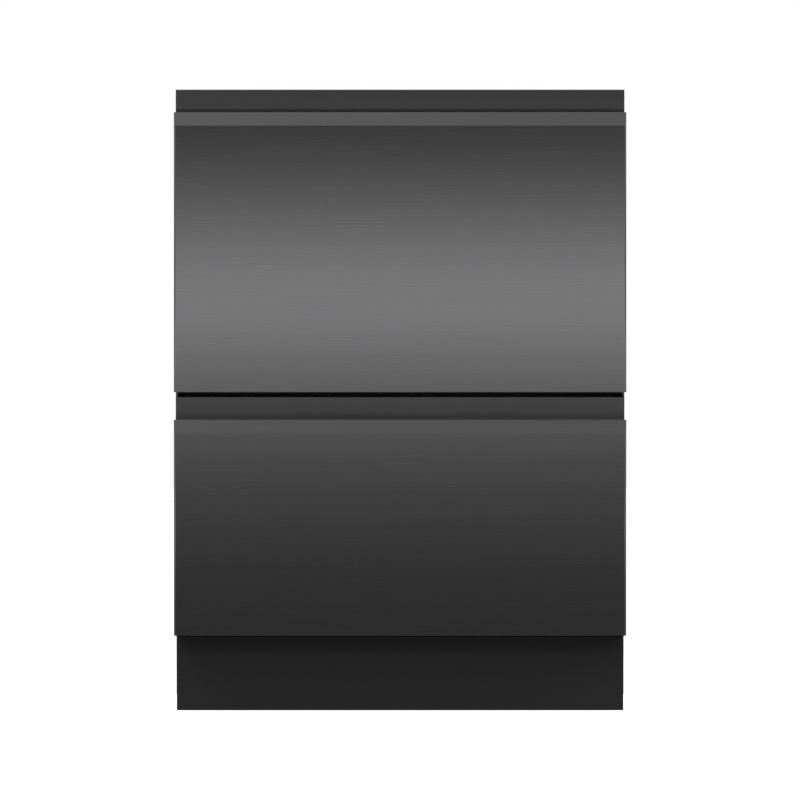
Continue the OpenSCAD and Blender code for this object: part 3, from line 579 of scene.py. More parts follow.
def grow(tree, name, slot, body, points, edges=(), facing=None, size=None, finish=None, bevel=None, **given):
    """Runs a tree over points and lines, and turns what it makes into a piece of its own."""
    mesh = bpy.data.meshes.new(name)
    mesh.from_pydata(points, edges, [])
    for label, rows in (("facing", facing), ("size", size)):
        if rows is not None:
            values = mesh.attributes.new(label, "FLOAT_VECTOR", "POINT")
            rows = rows if isinstance(rows, list) else [rows] * len(points)
            values.data.foreach_set("vector", [number for row in rows for number in row])
    piece = in_scene(name, mesh)
    modifier = piece.modifiers.new("grown", "NODES")
    modifier.node_group = tree
    given = {key.replace("_", " "): value for key, value in given.items()}
    given["Finish"] = finish or FINISH[slot]
    for socket in tree.interface.items_tree:
        if socket.in_out == "INPUT" and socket.name in given:
            modifier[socket.identifier] = given[socket.name]
    settle(piece)
    for attribute in ("facing", "size"):
        if attribute in piece.data.attributes:
            piece.data.attributes.remove(piece.data.attributes[attribute])
    if bevel:
        settle(piece, ("BEVEL", {"width": bevel, "segments": 2, "limit_method": "ANGLE"}))
    soften(piece.data)
    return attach(piece, body)


def chain(paths, loops=()):
    """Points and edges of separate lines, and of closed loops."""
    points, edges = [], []
    for path, closed in [(p, False) for p in paths] + [(p, True) for p in loops]:
        first = len(points)
        points += path
        edges += [(first + k, first + k + 1) for k in range(len(path) - 1)]
        if closed:
            edges.append((len(points) - 1, first))
    return points, edges


def row(start, end, count):
    """Evenly spaced points on a line."""
    start, end = Vector(start), Vector(end)
    return [tuple(start.lerp(end, k / (count - 1))) for k in range(count)]


def middle_out(count, pitch):
    """Evenly spaced offsets on both sides of 0."""
    return [(k - (count - 1) / 2) * pitch for k in range(count)]


# ---- lights, floor and camera ----

def lamp(name, place, aim, size, power):
    """A soft rectangular lamp, (wide, high), that points at aim and isn't seen itself."""
    light = bpy.data.lights.new(name, "AREA")
    light.shape = "RECTANGLE"
    light.size, light.size_y = size
    light.energy = power
    holder = in_scene(name, light)
    holder.location = place
    holder.rotation_euler = (Vector(aim) - Vector(place)).to_track_quat("-Z", "Y").to_euler()
    holder.visible_camera = False


def board(name, corners, finish):
    """A flat board of the studio."""
    mesh = bpy.data.meshes.new(name)
    mesh.from_pydata(corners, [], [(0, 1, 2, 3)])
    mesh.materials.append(finish)
    made = in_scene(name, mesh)
    return made


def card(name, low, high, axis, reach, glow):
    """A card in front of the machine, seen only in its reflections.

    Its glow changes as the distance from the middle along the axis goes over reach.
    """
    finish = bpy.data.materials.new(name)
    finish.use_nodes = True
    tree = finish.node_tree
    tree.nodes.clear()
    place = add_node(tree, "ShaderNodeTexCoord")
    apart = add_node(tree, "ShaderNodeSeparateXYZ", Vector=place.outputs["Object"])
    distance = add_node(tree, "ShaderNodeMath", operation="ABSOLUTE", Value=apart.outputs[axis])
    fade = add_node(tree, "ShaderNodeMapRange", Value=distance.outputs[0], From_Min=reach[0],
                    From_Max=reach[1], To_Min=glow[0], To_Max=glow[1])
    shine = add_node(tree, "ShaderNodeEmission", Strength=fade.outputs["Result"])
    add_node(tree, "ShaderNodeOutputMaterial", Surface=shine.outputs[0])
    (x0, y0, z0), (x1, y1, z1) = low, high
    mirrored = board(name, [(x0, y0, z0), (x1, y0, z0), (x1, y1, z1), (x0, y1, z1)], finish)
    mirrored.visible_camera = False
    mirrored.visible_diffuse = False
    mirrored.visible_shadow = False
    mirrored.visible_transmission = False


def seen_or_mirrored(tree):
    """1 for rays from the camera, off a glossy face or through glass."""
    path = add_node(tree, "ShaderNodeLightPath")
    total = path.outputs["Is Camera Ray"]
    for other in ("Is Glossy Ray", "Is Transmission Ray"):
        longest = add_node(tree, "ShaderNodeMath", operation="MAXIMUM")
        tree.links.new(total, longest.inputs[0])
        tree.links.new(path.outputs[other], longest.inputs[1])
        total = longest.outputs[0]
    return total


def studio_world():
    """A white room that lights the machine at half its seen strength."""
    world = bpy.data.worlds.new("studio")
    scene.world = world
    world.use_nodes = True
    tree = world.node_tree
    room = tree.nodes["Background"]
    room.inputs["Color"].default_value = (1, 1, 1, 1)
    level = add_node(tree, "ShaderNodeMapRange", Value=seen_or_mirrored(tree), To_Min=0.5, To_Max=1.0)
    tree.links.new(level.outputs["Result"], room.inputs["Strength"])


def studio_floor():
    """A pale floor that takes the machine's shadow, and looks white to the camera."""
    finish, tree, shader = blank_finish("studio_floor", (0.8, 0.8, 0.8), 0.7)
    shader.inputs["Specular IOR Level"].default_value = 0.0
    glow = add_node(tree, "ShaderNodeEmission", Strength=0.86)
    lit = add_node(tree, "ShaderNodeAddShader")
    pick = add_node(tree, "ShaderNodeMixShader", Fac=seen_or_mirrored(tree))
    link = tree.links.new
    link(shader.outputs[0], lit.inputs[0])
    link(glow.outputs[0], lit.inputs[1])
    link(shader.outputs[0], pick.inputs[1])
    link(lit.outputs[0], pick.inputs[2])
    link(pick.outputs[0], tree.nodes["Material Output"].inputs["Surface"])
    board("studio_floor", [(-30, -20, 0), (30, -20, 0), (30, 40, 0), (-30, 40, 0)], finish)


CAMERA_DISTANCE = 16.0
CAMERA_X = -0.0001
CAMERA_Z = 0.4124
LENS = 544.1


def studio_camera():
    """A long lens, level and straight in front, as in the photograph."""
    data = bpy.data.cameras.new("camera")
    data.sensor_width = 36
    data.lens = LENS
    data.clip_end = 100
    camera = in_scene("camera", data)
    camera.location = (CAMERA_X, FRONT_Y - CAMERA_DISTANCE, CAMERA_Z)
    camera.rotation_euler = (math.radians(90), 0, 0)
    scene.camera = camera


STRIP_LAMPS_Y = FRONT_Y - 1.1
STRIP_LAMPS = {0.25: 0.24, 0.35: 0.37, 0.45: 0.73, 0.55: 3.52, 0.65: 1.27}  # power at each height

studio_world()
studio_floor()
card("studio_wall_card", (-7, -6, -0.5), (7, -6, 3.0), "X", (1.0, 4.0), (0.07, 0.47))
card("studio_floor_card", (-7, -6, 0.002), (7, -0.45, 0.002), "Y", (0.45, 3.0), (0.36, 0.09))
for height, power in STRIP_LAMPS.items():
    lamp("front_strip_%d" % (height * 100), (0, STRIP_LAMPS_Y, height), (0, 0, height), (3.0, 0.1), power)
lamp("key", (-1.7, -1.9, 2.4), (0, 0, 0.4), (1.4, 1.4), 26)
lamp("fill_right", (2.2, -0.6, 1.6), (0, 0, 0.4), (1.2, 1.2), 14)
lamp("fill_back", (0.4, 2.4, 1.9), (0, 0, 0.4), (1.4, 1.4), 14)
studio_camera()
scene.view_settings.view_transform = "Standard"

# ---- fronts ----

STRIP_FRONT = -0.2555
STRIP_BACK = -0.2525
STRIP_HALF = 0.2975
STRIP_HEIGHT = 0.0585
STRIP_LEAN = {"lower": 0.0011, "upper": -0.0012}
STRIP_COVE = 0.0006
STRIP_BEND = 0.0012
STRIP_STEPS = 12


def fascia_strip(drawer):
    """The steel strip over the finger pull: it leans a little, and coves back towards the pull."""
    top = TOP[drawer]
    low = top - STRIP_HEIGHT
    brow = top - STRIP_BEND
    knee = top - PANEL_DROP
    lean = STRIP_LEAN[drawer]
    face = [(STRIP_FRONT + lean + STRIP_COVE, low)]
    for k in range(STRIP_STEPS + 1):
        drop = 1 - k / STRIP_STEPS
        face.append((STRIP_FRONT + lean * drop + STRIP_COVE * drop ** 4, brow - (brow - knee) * drop))
    for k in range(1, 7):
        turn = math.radians(15 * k)
        face.append((STRIP_FRONT + STRIP_BEND * (1 - math.cos(turn)),
                     top - STRIP_BEND * (1 - math.sin(turn))))
    face += [(STRIP_BACK, top), (STRIP_BACK, low)]
    shape = lofted([[(x, y, z) for y, z in face] for x in (-STRIP_HALF, STRIP_HALF)])
    round_edges(shape, 0.0005, 2, 60, lambda a, b: min(abs(a.x), abs(b.x)) > STRIP_HALF - 1e-5)
    # Its darker steel is painted shade of the recess
    return piece_from(shape, drawer + "_fascia_strip", "dark_steel", FASCIA_SHADED_STEEL)


def bend_at(height, reach):
    """A test for level edges at a height that lie within reach of the panel's face."""
    return lambda a, b: (max(a.y, b.y) < FRONT_Y + reach
                         and max(abs(a.z - height), abs(b.z - height)) < 0.0004)


def steel_panel(drawer):
    """The wrapped panel, with a soft bend under its lip and a tighter one along its top."""
    top = TOP[drawer] - PANEL_DROP
    shape = welded(drawer + "_front_panel")
    round_edges(shape, 0.0014, 5, 8, bend_at(top - LIP_HEIGHT, 0.004))
    round_edges(shape, 0.0009, 4, 40, bend_at(top, 0.006))
    round_edges(shape, 0.0004, 2, 40)
    return piece_from(shape, drawer + "_steel_panel", "dark_steel")


def control_head(drawer):
    """The moulding behind the strip, cut off where the strip's back lies."""
    shape = welded(drawer + "_control_fascia")
    bmesh.ops.bisect_plane(shape, geom=shape.verts[:] + shape.edges[:] + shape.faces[:], dist=1e-7,
                           plane_co=(0, STRIP_BACK + 0.00005, 0), plane_no=(0, -1, 0), clear_outer=True)
    bmesh.ops.holes_fill(shape, edges=[e for e in shape.edges if e.is_boundary], sides=0)
    round_edges(shape, 0.0008, 3, 40)
    return piece_from(shape, drawer + "_control_head", "dark_steel", FINISH["dark_moulding"])


for drawer in DRAWERS:
    stand_in(steel_panel(drawer), drawer + "_front_panel")
    strip = fascia_strip(drawer)
    stand_in(control_head(drawer), drawer + "_control_fascia")
    stand_in(strip, drawer + "_control_fascia")

# ---- plain pieces with rounded edges ----

ROUNDING = {
    "middle_rail": 0.0006, "base_tray": 0.0008, "outer_runners": 0.0003, "lid_lift_units": 0.0007,
    "control_module": 0.0015, "inlet_valve": 0.0007, "drain_spigots": 0.0004, "mains_gland": 0.0005,
    "toe_kick": 0.0005,
}
DRAWER_ROUNDING = {
    "front_liner": 0.0008, "display_window": 0.0003, "power_button": 0.0009, "programme_button": 0.0009,
    "start_button": 0.0009, "inner_runners": 0.0003, "middle_runners": 0.0003, "pump_rotor": 0.0007,
    "pump_housing": 0.0012, "dispenser": 0.0009, "dispenser_door": 0.0008, "rinse_cap": 0.0009,
    "lid": 0.0014, "lid_seal": 0.0018, "filter_plate": 0.0006,
}
WIDE_ROUNDING = 0.0008

for kind, width in DRAWER_ROUNDING.items():
    for drawer in DRAWERS:
        ROUNDING[drawer + "_" + kind] = width
for node, width in ROUNDING.items():
    refine(node, width, 3 if width > WIDE_ROUNDING else 2)

# ---- cabinet ----

CABINET_TOP = TOP["upper"]
SHEET_X = 0.297
SHEET_HALF = 0.2958
CAB_Y = -0.2505
TOE_Y = -0.23
TRAY_Z = 0.022
STEP_Z = 0.0994
SEAL_TOP_Z = 0.8226
SEAL_HALF = 0.2942
FIX_HOLE = 0.0025
DRAIN_HOLE = 0.0097
DRAIN_FLAP = 0.00755
RIVET_HEAD = 0.0006
TOP_SHEET_Z = CABINET_TOP - RIVET_HEAD
RIVET = {"Sides": 16, "Head_Height": RIVET_HEAD}
ANY_TURN = {"Twist": 6.28}


def rectangle(u0, v0, u1, v1):
    """A rectangle's corners, anticlockwise."""
    return [(u0, v0), (u1, v0), (u1, v1), (u0, v1)]


def fasteners(name, points, facing, **given):
    """Screws or rivets of the cabinet's sheets."""
    grow(SCREWS, name, "galvanised_sheet", "cabinet", points, facing=facing, finish=SCREW_STEEL, **given)


def seal_strip(name, sections, finish=None):
    """A soft strip that the cabinet carries, lofted between its two ends."""
    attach(piece_from(lofted(sections), name, "seal_rubber", finish), "cabinet")


side_outline = [(TOE_Y, TRAY_Z), (BACK_Y, TRAY_Z), (BACK_Y, CABINET_TOP), (CAB_Y, CABINET_TOP),
                (CAB_Y, STEP_Z), (TOE_Y, STEP_Z)]
side_fields = [(-0.195, bottom, 0.245, top, 0.018)
               for bottom, top in ((0.075, 0.225), (0.472, 0.632), (0.712, 0.768), (0.306, 0.362))]
side_holes = [(-0.2405, z, FIX_HOLE) for z in (0.15, 0.75)]
for side, sign in SIDES:
    pressed_sheet("cabinet_%s_sheet" % side, "cabinet_%s_side" % side, side_outline, side_fields, side_holes,
                  lambda u, v, sink, sign=sign: (sign * (SHEET_X - sink), u, v), (sign, 0, 0))
pressed_sheet("cabinet_back_sheet", "cabinet_back", rectangle(-SHEET_HALF, 0.06, SHEET_HALF, 0.8228),
              [(-0.255, 0.132, 0.255, 0.405, 0.02), (-0.255, 0.535, 0.255, 0.785, 0.02),
               (0.0, 0.43, 0.255, 0.51, 0.02)],
              [(INLET_X, SERVICE_Z, 0.0134), (LEFT_DRAIN_X, SERVICE_Z, DRAIN_HOLE),
               (RIGHT_DRAIN_X, SERVICE_Z, DRAIN_HOLE), (GLAND_X, SERVICE_Z, 0.00845)],
              lambda u, v, sink: (u, BACK_Y - sink, v), BACK)
pressed_sheet("cabinet_top_sheet", "cabinet_top", rectangle(-SHEET_HALF, CAB_Y, SHEET_HALF, BACK_Y),
              [(-0.255, -0.165, -0.015, 0.225, 0.02), (0.015, -0.165, 0.255, 0.225, 0.02)],
              [(x, -0.2385, FIX_HOLE) for x in (-0.2908, 0.2908)],
              lambda u, v, sink: (u, v, TOP_SHEET_Z - sink), UP)

side_screws = row((0, -0.2, 0.815), (0, 0.255, 0.815), 5) + row((0, 0.262, 0.13), (0, 0.262, 0.72), 6)
side_rivets = row((0, -0.2, 0.04), (0, 0.255, 0.04), 5)
side_seal = [(0.2945, 0.0110), (0.2945, -0.0006), (0.2950, -0.0011), (0.2970, -0.0011), (0.2974, -0.0006),
             (0.2974, 0.0110)]
for side, sign in SIDES:
    fasteners("cabinet_%s_screws" % side, [(sign * SHEET_X, y, z) for _, y, z in side_screws],
              (sign, 0, 0), **ANY_TURN)
    fasteners("cabinet_%s_rivets" % side, [(sign * SHEET_X, y, z) for _, y, z in side_rivets],
              (sign, 0, 0), **RIVET)
    seal_strip("cabinet_%s_edge_seal" % side,
               [[(sign * x, CAB_Y + y, z) for x, y in side_seal] for z in (STEP_Z, SEAL_TOP_Z)])

rail_low, rail_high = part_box("middle_rail")
rail_y, bottom, top = rail_low.y, rail_low.z, rail_high.z
rail_seal = [(rail_y + 0.0015, bottom - 0.0005), (rail_y - 0.0004, bottom - 0.0005),
             (rail_y - 0.0009, bottom), (rail_y - 0.0009, top - 0.002),
             (rail_y - 0.0004, top - 0.0015), (rail_y + 0.0015, top - 0.0015)]
# The seal in front of the middle rail is near-black painted shade for the gap between the drawers
seal_strip("middle_rail_shade_seal", [[(x, y, z) for y, z in rail_seal] for x in (-SEAL_HALF, SEAL_HALF)], GAP_SHADE_FOAM)

back_screws = (row((-0.288, 0.075), (-0.288, 0.81), 7) + row((0.288, 0.075), (0.288, 0.81), 7)
               + row((-0.19, 0.812), (0.19, 0.812), 4) + row((-0.1, 0.068), (0.1, 0.068), 3))
top_rivets = [point for x in (-0.29, 0.29)
              for point in row((x, -0.16, TOP_SHEET_Z), (x, 0.26, TOP_SHEET_Z), 5)]
valve_screws = [(INLET_X + x, BACK_Y + 0.0001, SERVICE_Z + z) for x in (-0.0205, 0.0205)
                for z in (-0.0155, 0.0155)]
fasteners("cabinet_back_screws", [(x, BACK_Y, z) for x, z in back_screws], BACK, **ANY_TURN)
fasteners("cabinet_top_rivets", top_rivets, UP, **RIVET)
fasteners("service_screws", valve_screws, BACK, Head_Radius=0.003, **ANY_TURN)
grow(THREADS, "inlet_thread", "white_moulding", "cabinet", [(INLET_X, 0.2745, SERVICE_Z)], facing=BACK,
     Turns=6.0, Thread_Radius=0.0131, Thread_Length=0.0112, Ridge=0.0005)

facing_back = Matrix.Rotation(math.radians(-90), 4, "X")
for name, x, radius in (("left_drain_flap", LEFT_DRAIN_X, DRAIN_FLAP),
                        ("right_drain_flap", RIGHT_DRAIN_X, DRAIN_FLAP), ("gland_membrane", GLAND_X, 0.0043)):
    disc = turned([(0, 0), (radius, 0), (radius, 0.001), (radius * 0.6, 0.0016), (0, 0.0018)], 32)
    flap = piece_from(moved(disc, (x, BACK_Y - 0.004, SERVICE_Z), facing_back), name, "dark_moulding",
                      FINISH["seal_rubber"])
    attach(flap, "cabinet")

module_low, module_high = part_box("control_module")
fin_x = (module_low.x + module_high.x) / 2
fin_y = module_low.y + MODULE_PLUG_REACH - 0.0018
fin_z = module_high.z - 0.0215
grow(SLATS, "control_module_fins", "dark_moulding", "cabinet",
     [(fin_x + x, fin_y, fin_z) for x in middle_out(14, 0.01)], size=(0.003, 0.004, 0.03), bevel=0.0004)

# ---- levelling feet ----

FOOT_PAD = [(0, 0), (0.0172, 0), (0.018, 0.0008), (0.018, 0.0045), (0.0172, 0.0062), (0.0152, 0.0074),
            (0.012, 0.008), (0, 0.008)]
FOOT_NUT = [(0, 0.0079), (0.009, 0.0079), (0.009, 0.0148), (0.0078, 0.016), (0, 0.016)]


def levelling_foot(node, corner):
    """A foot's pad, hexagon nut and threaded stem."""
    low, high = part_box(node)
    x = (low.x + high.x) / 2
    y = (low.y + high.y) / 2
    stem = [(0, 0.0155), (0.0044, 0.0155), (0.0044, 0.0925), (0.0036, high.z), (0, high.z)]
    foot = moved(merged(turned(FOOT_PAD), turned(stem, 32), turned(FOOT_NUT, 6)), (x, y, 0))
    stand_in(piece_from(foot, corner + "_foot", "foot_moulding"), node)
    grow(THREADS, corner + "_foot_thread", "foot_moulding", node, [(x, y, 0.0165)], facing=UP,
         Turns=42.0, Thread_Radius=0.0046, Thread_Length=0.0755, Ridge=0.0005)


for corner in ("front_left", "front_right", "rear_left", "rear_right"):
    levelling_foot("foot_" + corner, corner)

# ---- runners ----

BALL_X = 0.2921
BALL_LIFT = 0.0195
BALL_ROW = [-0.235 + k * 0.0125 for k in range(38)]
RUNNER_RIVET_X = 0.28455
RUNNER_RIVET_ROW = (-0.1435, -0.0035, 0.1365, 0.22)

for drawer in DRAWERS:
    z = TOP[drawer] - RUNNER_DROP
    balls = [(sign * BALL_X, y, z + lift) for sign in (-1, 1) for lift in (-BALL_LIFT, BALL_LIFT)
             for y in BALL_ROW]
    grow(BALLS, drawer + "_runner_balls", "runner_steel", drawer + "_middle_runners", balls,
         facing=UP, Ball_Radius=0.0016)
    rivets = [(sign * RUNNER_RIVET_X, y, z) for sign in (-1, 1) for y in RUNNER_RIVET_ROW]
    grow(SCREWS, drawer + "_runner_rivets", "runner_steel", drawer + "_drawer", rivets,
         facing=[(math.copysign(1, -x), 0, 0) for x, _, _ in rivets], Sides=16, Head_Radius=0.0045,
         Head_Height=0.0014, finish=SCREW_STEEL)

# ---- tubs ----

DRAIN_WELL = 0.1
RIM_EDGE = 0.0005


def tub_shell(drawer):
    """The tub, with wide inner corners round its floor."""
    floor_z = TOP[drawer] - TUB_FLOOR_DROP
    rim_z = TOP[drawer] - RIM_DROP
    shape = welded(drawer + "_tub")
    round_edges(shape, 0.012, 5, 60, lambda a, b: max(abs(a.z - floor_z), abs(b.z - floor_z)) < 0.0003
                and max(math.hypot(p.x, p.y - TUB_Y) for p in (a, b)) > DRAIN_WELL, inner=True)
    round_edges(shape, 0.0016, 3, 60, lambda a, b: min(a.z, b.z) > rim_z - RIM_EDGE)
    round_edges(shape, 0.0008, 2, 50, lambda a, b: max(a.z, b.z) < rim_z - RIM_EDGE)
    return piece_from(shape, drawer + "_tub_shell", "tub_moulding")


def tub_ribs(drawer):
    """Ribs outside the tub's walls and under its floor."""
    floor_z = TOP[drawer] - TUB_FLOOR_DROP
    ribs, sizes = [], []
    for sign in (-1, 1):
        for x in middle_out(9, 0.056):
            if sign > 0 or abs(x) > 0.15:
                ribs.append((x, TUB_Y + sign * 0.2066, floor_z + 0.098))
                sizes.append((0.0024, 0.0032, 0.19))
        for y in middle_out(7, 0.056):
            ribs.append((sign * 0.2782, TUB_Y + y, floor_z + 0.046))
            sizes.append((0.0028, 0.0024, 0.086))
    for c, s in around(16, math.tau / 32):
        ribs.append((0.14 * c, TUB_Y + 0.13 * s, floor_z - 0.0034))
        sizes.append((0.004, 0.004, 0.0024))
    grow(SLATS, drawer + "_tub_ribs", "tub_moulding", drawer + "_drawer", ribs, size=sizes, bevel=0.0006)


for drawer in DRAWERS:
    stand_in(tub_shell(drawer), drawer + "_tub")
    tub_ribs(drawer)

# ---- washing parts ----

WING_STATIONS = (0.017, 0.03, 0.06, 0.1, 0.14, 0.165, 0.18, 0.188, 0.193, 0.195)
WING_ROOT_HALF = 0.024
WING_END_HALF = 0.015
WING_END_X = 0.18
WING_TIP = 0.015
WING_MIDDLE_Z = 0.008
WING_CROWN = 0.005
HUB = [(0.00808, 0), (0.022, 0), (0.024, 0.002), (0.024, 0.0105), (0.0215, 0.0128), (0.014, 0.0135),
       (0.0132, 0.0152), (0.012, 0.016), (0.00808, 0.016)]
JETS = ((0.042, 0.006), (0.066, -0.005), (0.09, 0.004), (0.112, -0.004), (0.134, 0.003), (0.154, -0.003),
        (0.172, 0.001))
FILTER_RINGS = (0.02, 0.0262, 0.0324, 0.0386, 0.0448, 0.051, 0.0575, 0.079, 0.085)
FILTER_PITCH = 0.0062


def rounded_power(value, power):
    """A sine or cosine raised to a power, with its sign kept: it squares an oval's corners."""
    return math.copysign(abs(value) ** power, value)


def spray_wing(sign):
    """A wing with a crowned top and bottom, which narrows towards a round tip."""
    sections = []
    for x in WING_STATIONS:
        over = max(0.0, (x - WING_END_X) / WING_TIP)
        half = ((WING_ROOT_HALF + (WING_END_HALF - WING_ROOT_HALF) * min(x / WING_END_X, 1))
                * math.sqrt(max(1 - over ** 2, 0.003)))
        crown = WING_CROWN * (1 - 0.6 * over ** 2)
        sections.append([(sign * x, half * rounded_power(c, 0.75),
                          WING_MIDDLE_Z + crown * rounded_power(s, 0.8)) for c, s in around(20)])
    return lofted(sections)


def spray_bar(drawer):
    """Two wings on a stepped hub."""
    wings = [spray_wing(sign) for sign in (-1, 1)]
    shape = moved(merged(turned(HUB, closed=True), *wings), (0, TUB_Y, TOP[drawer] - HUB_DROP))
    return piece_from(shape, drawer + "_spray_bar", "spray_moulding", sharp_degrees=50)


def filter_holes(drawer):
    """Rings of dark discs of painted shade that stand in for perforations, just proud of the filter plate."""
    z = TOP[drawer] - FILTER_DROP + 0.00012
    holes = []
    for turn, radius in enumerate(FILTER_RINGS):
        count = int(math.tau * radius / FILTER_PITCH)
        holes += [(radius * c, TUB_Y + radius * s, z) for c, s in around(count, turn)]
    return holes


for drawer in DRAWERS:
    arm = drawer + "_spray_arm"
    stand_in(spray_bar(drawer), arm)
    top = TOP[drawer] - WING_TOP_DROP
    jets = [(sign * x, TUB_Y + sign * y, top - 0.0002) for sign in (-1, 1) for x, y in JETS]
    grow(SCREWS, drawer + "_spray_jets", "spray_moulding", arm, jets, facing=UP, Sides=16,
         Head_Radius=0.0046, Head_Height=0.0012)
    # The jets' slits are dark boxes of painted shade, not openings
    grow(SLATS, drawer + "_spray_slits", "spray_moulding", arm, [(x, y, z + 0.0012) for x, y, z in jets],
         size=(0.001, 0.0042, 0.0002), finish=PAINTED_HOLE_SHADE)
    grow(PAINTED_HOLE_SHADES, drawer + "_filter_mesh", "stainless", drawer + "_drawer", filter_holes(drawer),
         facing=UP, finish=PAINTED_HOLE_SHADE, Hole_Radius=0.0019)

# ---- racks ----

LOW_LEVEL = 2 * WIRE - 0.0004
MIDDLE_LEVEL = RACK_HEIGHT / 2
NOTCH = 0.124
FRONT_GAP = 0.12
FIXED_LIFT = 0.0077
FOLD_LIFT = 0.0079
TIP_IN = 0.0018
RACK_FOOT = [(0, 0), (0.0036, 0), (0.005, 0.0016), (0.005, 0.026), (0.0042, 0.031), (0.0042, 0.0365),
             (0.0034, 0.0372), (0, 0.0372)]


def rack_point(drawer, x, y, z):
    """A point measured from the middle of a rack's floor."""
    return (x, TUB_Y + y, TOP[drawer] - RACK_DROP + z)


def in_rack(drawer, paths):
    """Lines measured from the middle of a rack's floor."""
    return [[rack_point(drawer, *point) for point in path] for path in paths]


def rack_lines(drawer):
    """The drawn lines of a rack's bent wires: hoops both ways, low and middle rims, and the top rim."""
    hoops = []
    up_x = RACK_HALF_X - UPRIGHT_IN
    up_y = RACK_HALF_Y - UPRIGHT_IN
    for x in middle_out(9, WIRE_PITCH):
        front = MIDDLE_LEVEL if abs(x) < FRONT_GAP else RACK_HEIGHT
        hoops.append([(x, -up_y, front), (x, -up_y, 0), (x, up_y, 0), (x, up_y, RACK_HEIGHT)])
    for y in middle_out(5, WIRE_PITCH):
        hoops.append([(-up_x, y, RACK_HEIGHT), (-up_x, y, LOW_LEVEL), (up_x, y, LOW_LEVEL),
                      (up_x, y, RACK_HEIGHT)])
    corners = rectangle(-RACK_HALF_X, -RACK_HALF_Y, RACK_HALF_X, RACK_HALF_Y)
    rims = [[(x, y, level) for x, y in corners] for level in (LOW_LEVEL, MIDDLE_LEVEL)]
    top_rim = [(NOTCH, -RACK_HALF_Y, MIDDLE_LEVEL + 0.001), (NOTCH, -RACK_HALF_Y, RACK_HEIGHT)]
    top_rim += [(*corners[k], RACK_HEIGHT) for k in (1, 2, 3, 0)]
    top_rim += [(-NOTCH, -RACK_HALF_Y, RACK_HEIGHT), (-NOTCH, -RACK_HALF_Y, MIDDLE_LEVEL + 0.001)]
    return in_rack(drawer, hoops), in_rack(drawer, rims), in_rack(drawer, [top_rim])


def comb(name, drawer, body, y, lift, x0, x1):
    """A bar with plate tines that have round tips."""
    bar = in_rack(drawer, [[(x0, y, lift), (x1, y, lift)]])
    columns = [TINE_X0 + k * TINE_PITCH for k in range(TINES)]
    tines = in_rack(drawer, [[(x, y, lift), (x, y, lift + TINE_LENGTH - TIP_IN)] for x in columns])
    piece = grow(WIRES, name + "_bar", "coated_wire", body, *chain(bar), Wire_Radius=0.002)
    grow(WIRES, name + "_tines", "coated_wire", body, *chain(tines), Wire_Radius=0.0018)
    grow(BALLS, name + "_tips", "coated_wire", body, [tine[1] for tine in tines], facing=UP,
         Ball_Radius=0.0021)
    return piece


for drawer in DRAWERS:
    slide = drawer + "_drawer"
    hoops, rims, top_rim = rack_lines(drawer)
    basket = grow(WIRES, drawer + "_rack_wires", "coated_wire", slide, *chain(hoops, rims), Bend_Radius=0.013)
    grow(WIRES, drawer + "_rack_rim", "coated_wire", slide, *chain(top_rim), Wire_Radius=0.0024,
         Bend_Radius=0.014)
    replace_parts(basket, drawer + "_rack")
    legs = [moved(turned(RACK_FOOT, 24), (x, TUB_Y + y, TOP[drawer] - TUB_FLOOR_DROP))
            for x in (-0.248, 0.248) for y in (-0.124, 0.124)]
    stilts = piece_from(merged(*legs), drawer + "_rack_feet", "coated_wire", FINISH["basket_moulding"])
    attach(stilts, slide)
    for y in ((0.124,) if drawer == "upper" else (0.0, 0.124)):
        comb("%s_fixed_comb_%d" % (drawer, y * 1000), drawer, slide, y, FIXED_LIFT, -0.238, -0.01)
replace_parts(comb("fold_comb", "upper", "tine_row", WIRE_PITCH, FOLD_LIFT, -0.244, -0.004), "tine_row")

SHELF_HINGE_X = -0.2541
SHELF_EDGE_X = -0.1721
SHELF_Z = 0.1

clips = [rack_point("upper", x, WIRE_PITCH, 0.00825) for x in (-0.238, -0.01)]
clips += [rack_point("upper", -0.25375, y, SHELF_Z) for y in (-0.124, 0.0)]
clip_sizes = [(0.006, 0.01, 0.0093)] * 2 + [(0.0093, 0.006, 0.01)] * 2
grow(SLATS, "upper_rack_clips", "coated_wire", "upper_drawer", clips, size=clip_sizes, bevel=0.001,
     finish=FINISH["basket_moulding"])

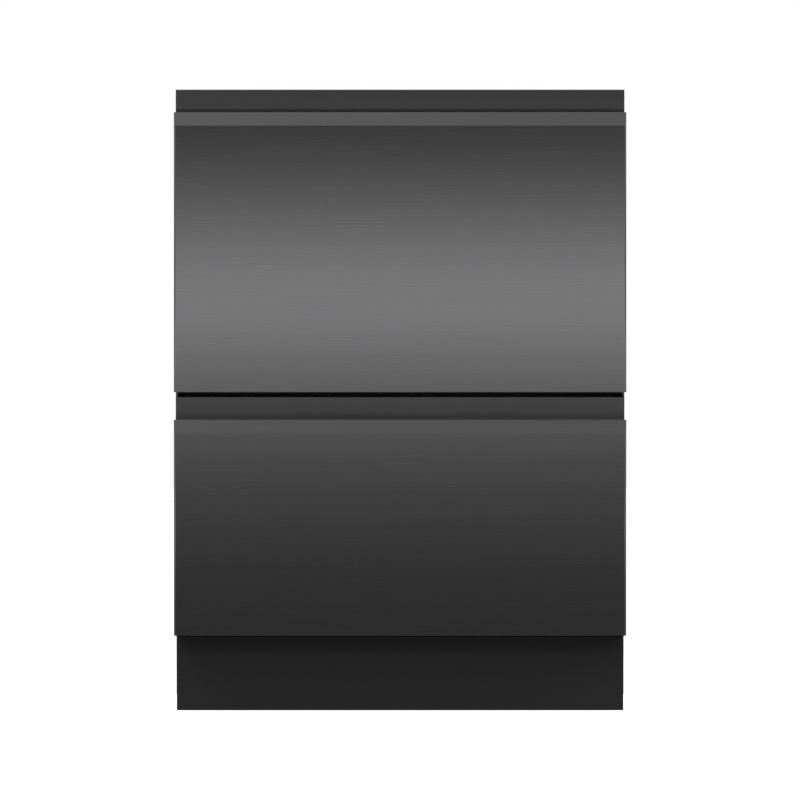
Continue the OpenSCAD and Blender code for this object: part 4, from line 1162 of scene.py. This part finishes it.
shelf_rows = [-WIRE_PITCH + y for y in middle_out(5, 2 * WIRE_PITCH / 5)]
shelf_lines = [[(SHELF_HINGE_X, -0.13, SHELF_Z), (SHELF_HINGE_X, 0.006, SHELF_Z)],
               [(SHELF_HINGE_X, shelf_rows[0], SHELF_Z), (SHELF_EDGE_X, shelf_rows[0], SHELF_Z),
                (SHELF_EDGE_X, shelf_rows[-1], SHELF_Z), (SHELF_HINGE_X, shelf_rows[-1], SHELF_Z)]]
shelf_lines += [[(SHELF_HINGE_X, y, SHELF_Z), (SHELF_EDGE_X, y, SHELF_Z)] for y in shelf_rows[1:-1]]
shelf = grow(WIRES, "cup_shelf_wires", "coated_wire", "cup_shelf", *chain(in_rack("upper", shelf_lines)),
             Bend_Radius=0.012, Wire_Radius=0.0019)
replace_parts(shelf, "cup_shelf")

# ---- cutlery basket ----

SLAT = 0.002
SLAT_IN = 0.0002
FLOOR_SLAT = 0.0015
UPRIGHT_END = 0.01


def across(start, length, count):
    """Where slats begin that are spread over a length."""
    return [start + k * (length - SLAT) / (count - 1) for k in range(count)]


def cutlery_slats(low, high):
    """Middles and sizes of the slats in the basket's walls, dividers and floor."""
    wide, deep, _ = high - low
    bands = ((low.z, 0.012), (low.z + 0.055, 0.005), (high.z - 0.013, 0.013))
    foot, head = low.z + UPRIGHT_END, high.z - UPRIGHT_END
    columns, rows = across(low.x, wide, 16), across(low.y, deep, 15)
    boxes = []
    for y in across(low.y, deep, 3):
        boxes += [(low.x, y, z, high.x, y + SLAT, z + tall) for z, tall in bands]
        boxes += [(x, y + SLAT_IN, foot, x + SLAT, y + SLAT - SLAT_IN, head) for x in columns]
    for x in across(low.x, wide, 4):
        boxes += [(x, low.y, z, x + SLAT, high.y, z + tall) for z, tall in bands]
        boxes += [(x + SLAT_IN, y, foot, x + SLAT - SLAT_IN, y + SLAT, head) for y in rows]
    boxes += [(x, low.y, low.z, x + SLAT, high.y, low.z + FLOOR_SLAT) for x in columns]
    boxes += [(low.x, y, low.z, high.x, y + SLAT, low.z + FLOOR_SLAT) for y in rows]
    return ([((x0 + x1) / 2, (y0 + y1) / 2, (z0 + z1) / 2) for x0, y0, z0, x1, y1, z1 in boxes],
            [(x1 - x0, y1 - y0, z1 - z0) for x0, y0, z0, x1, y1, z1 in boxes])


slats, slat_sizes = cutlery_slats(*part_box("cutlery_basket"))
lattice = grow(SLATS, "cutlery_lattice", "basket_moulding", "upper_drawer", slats, size=slat_sizes)
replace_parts(lattice, "cutlery_basket")
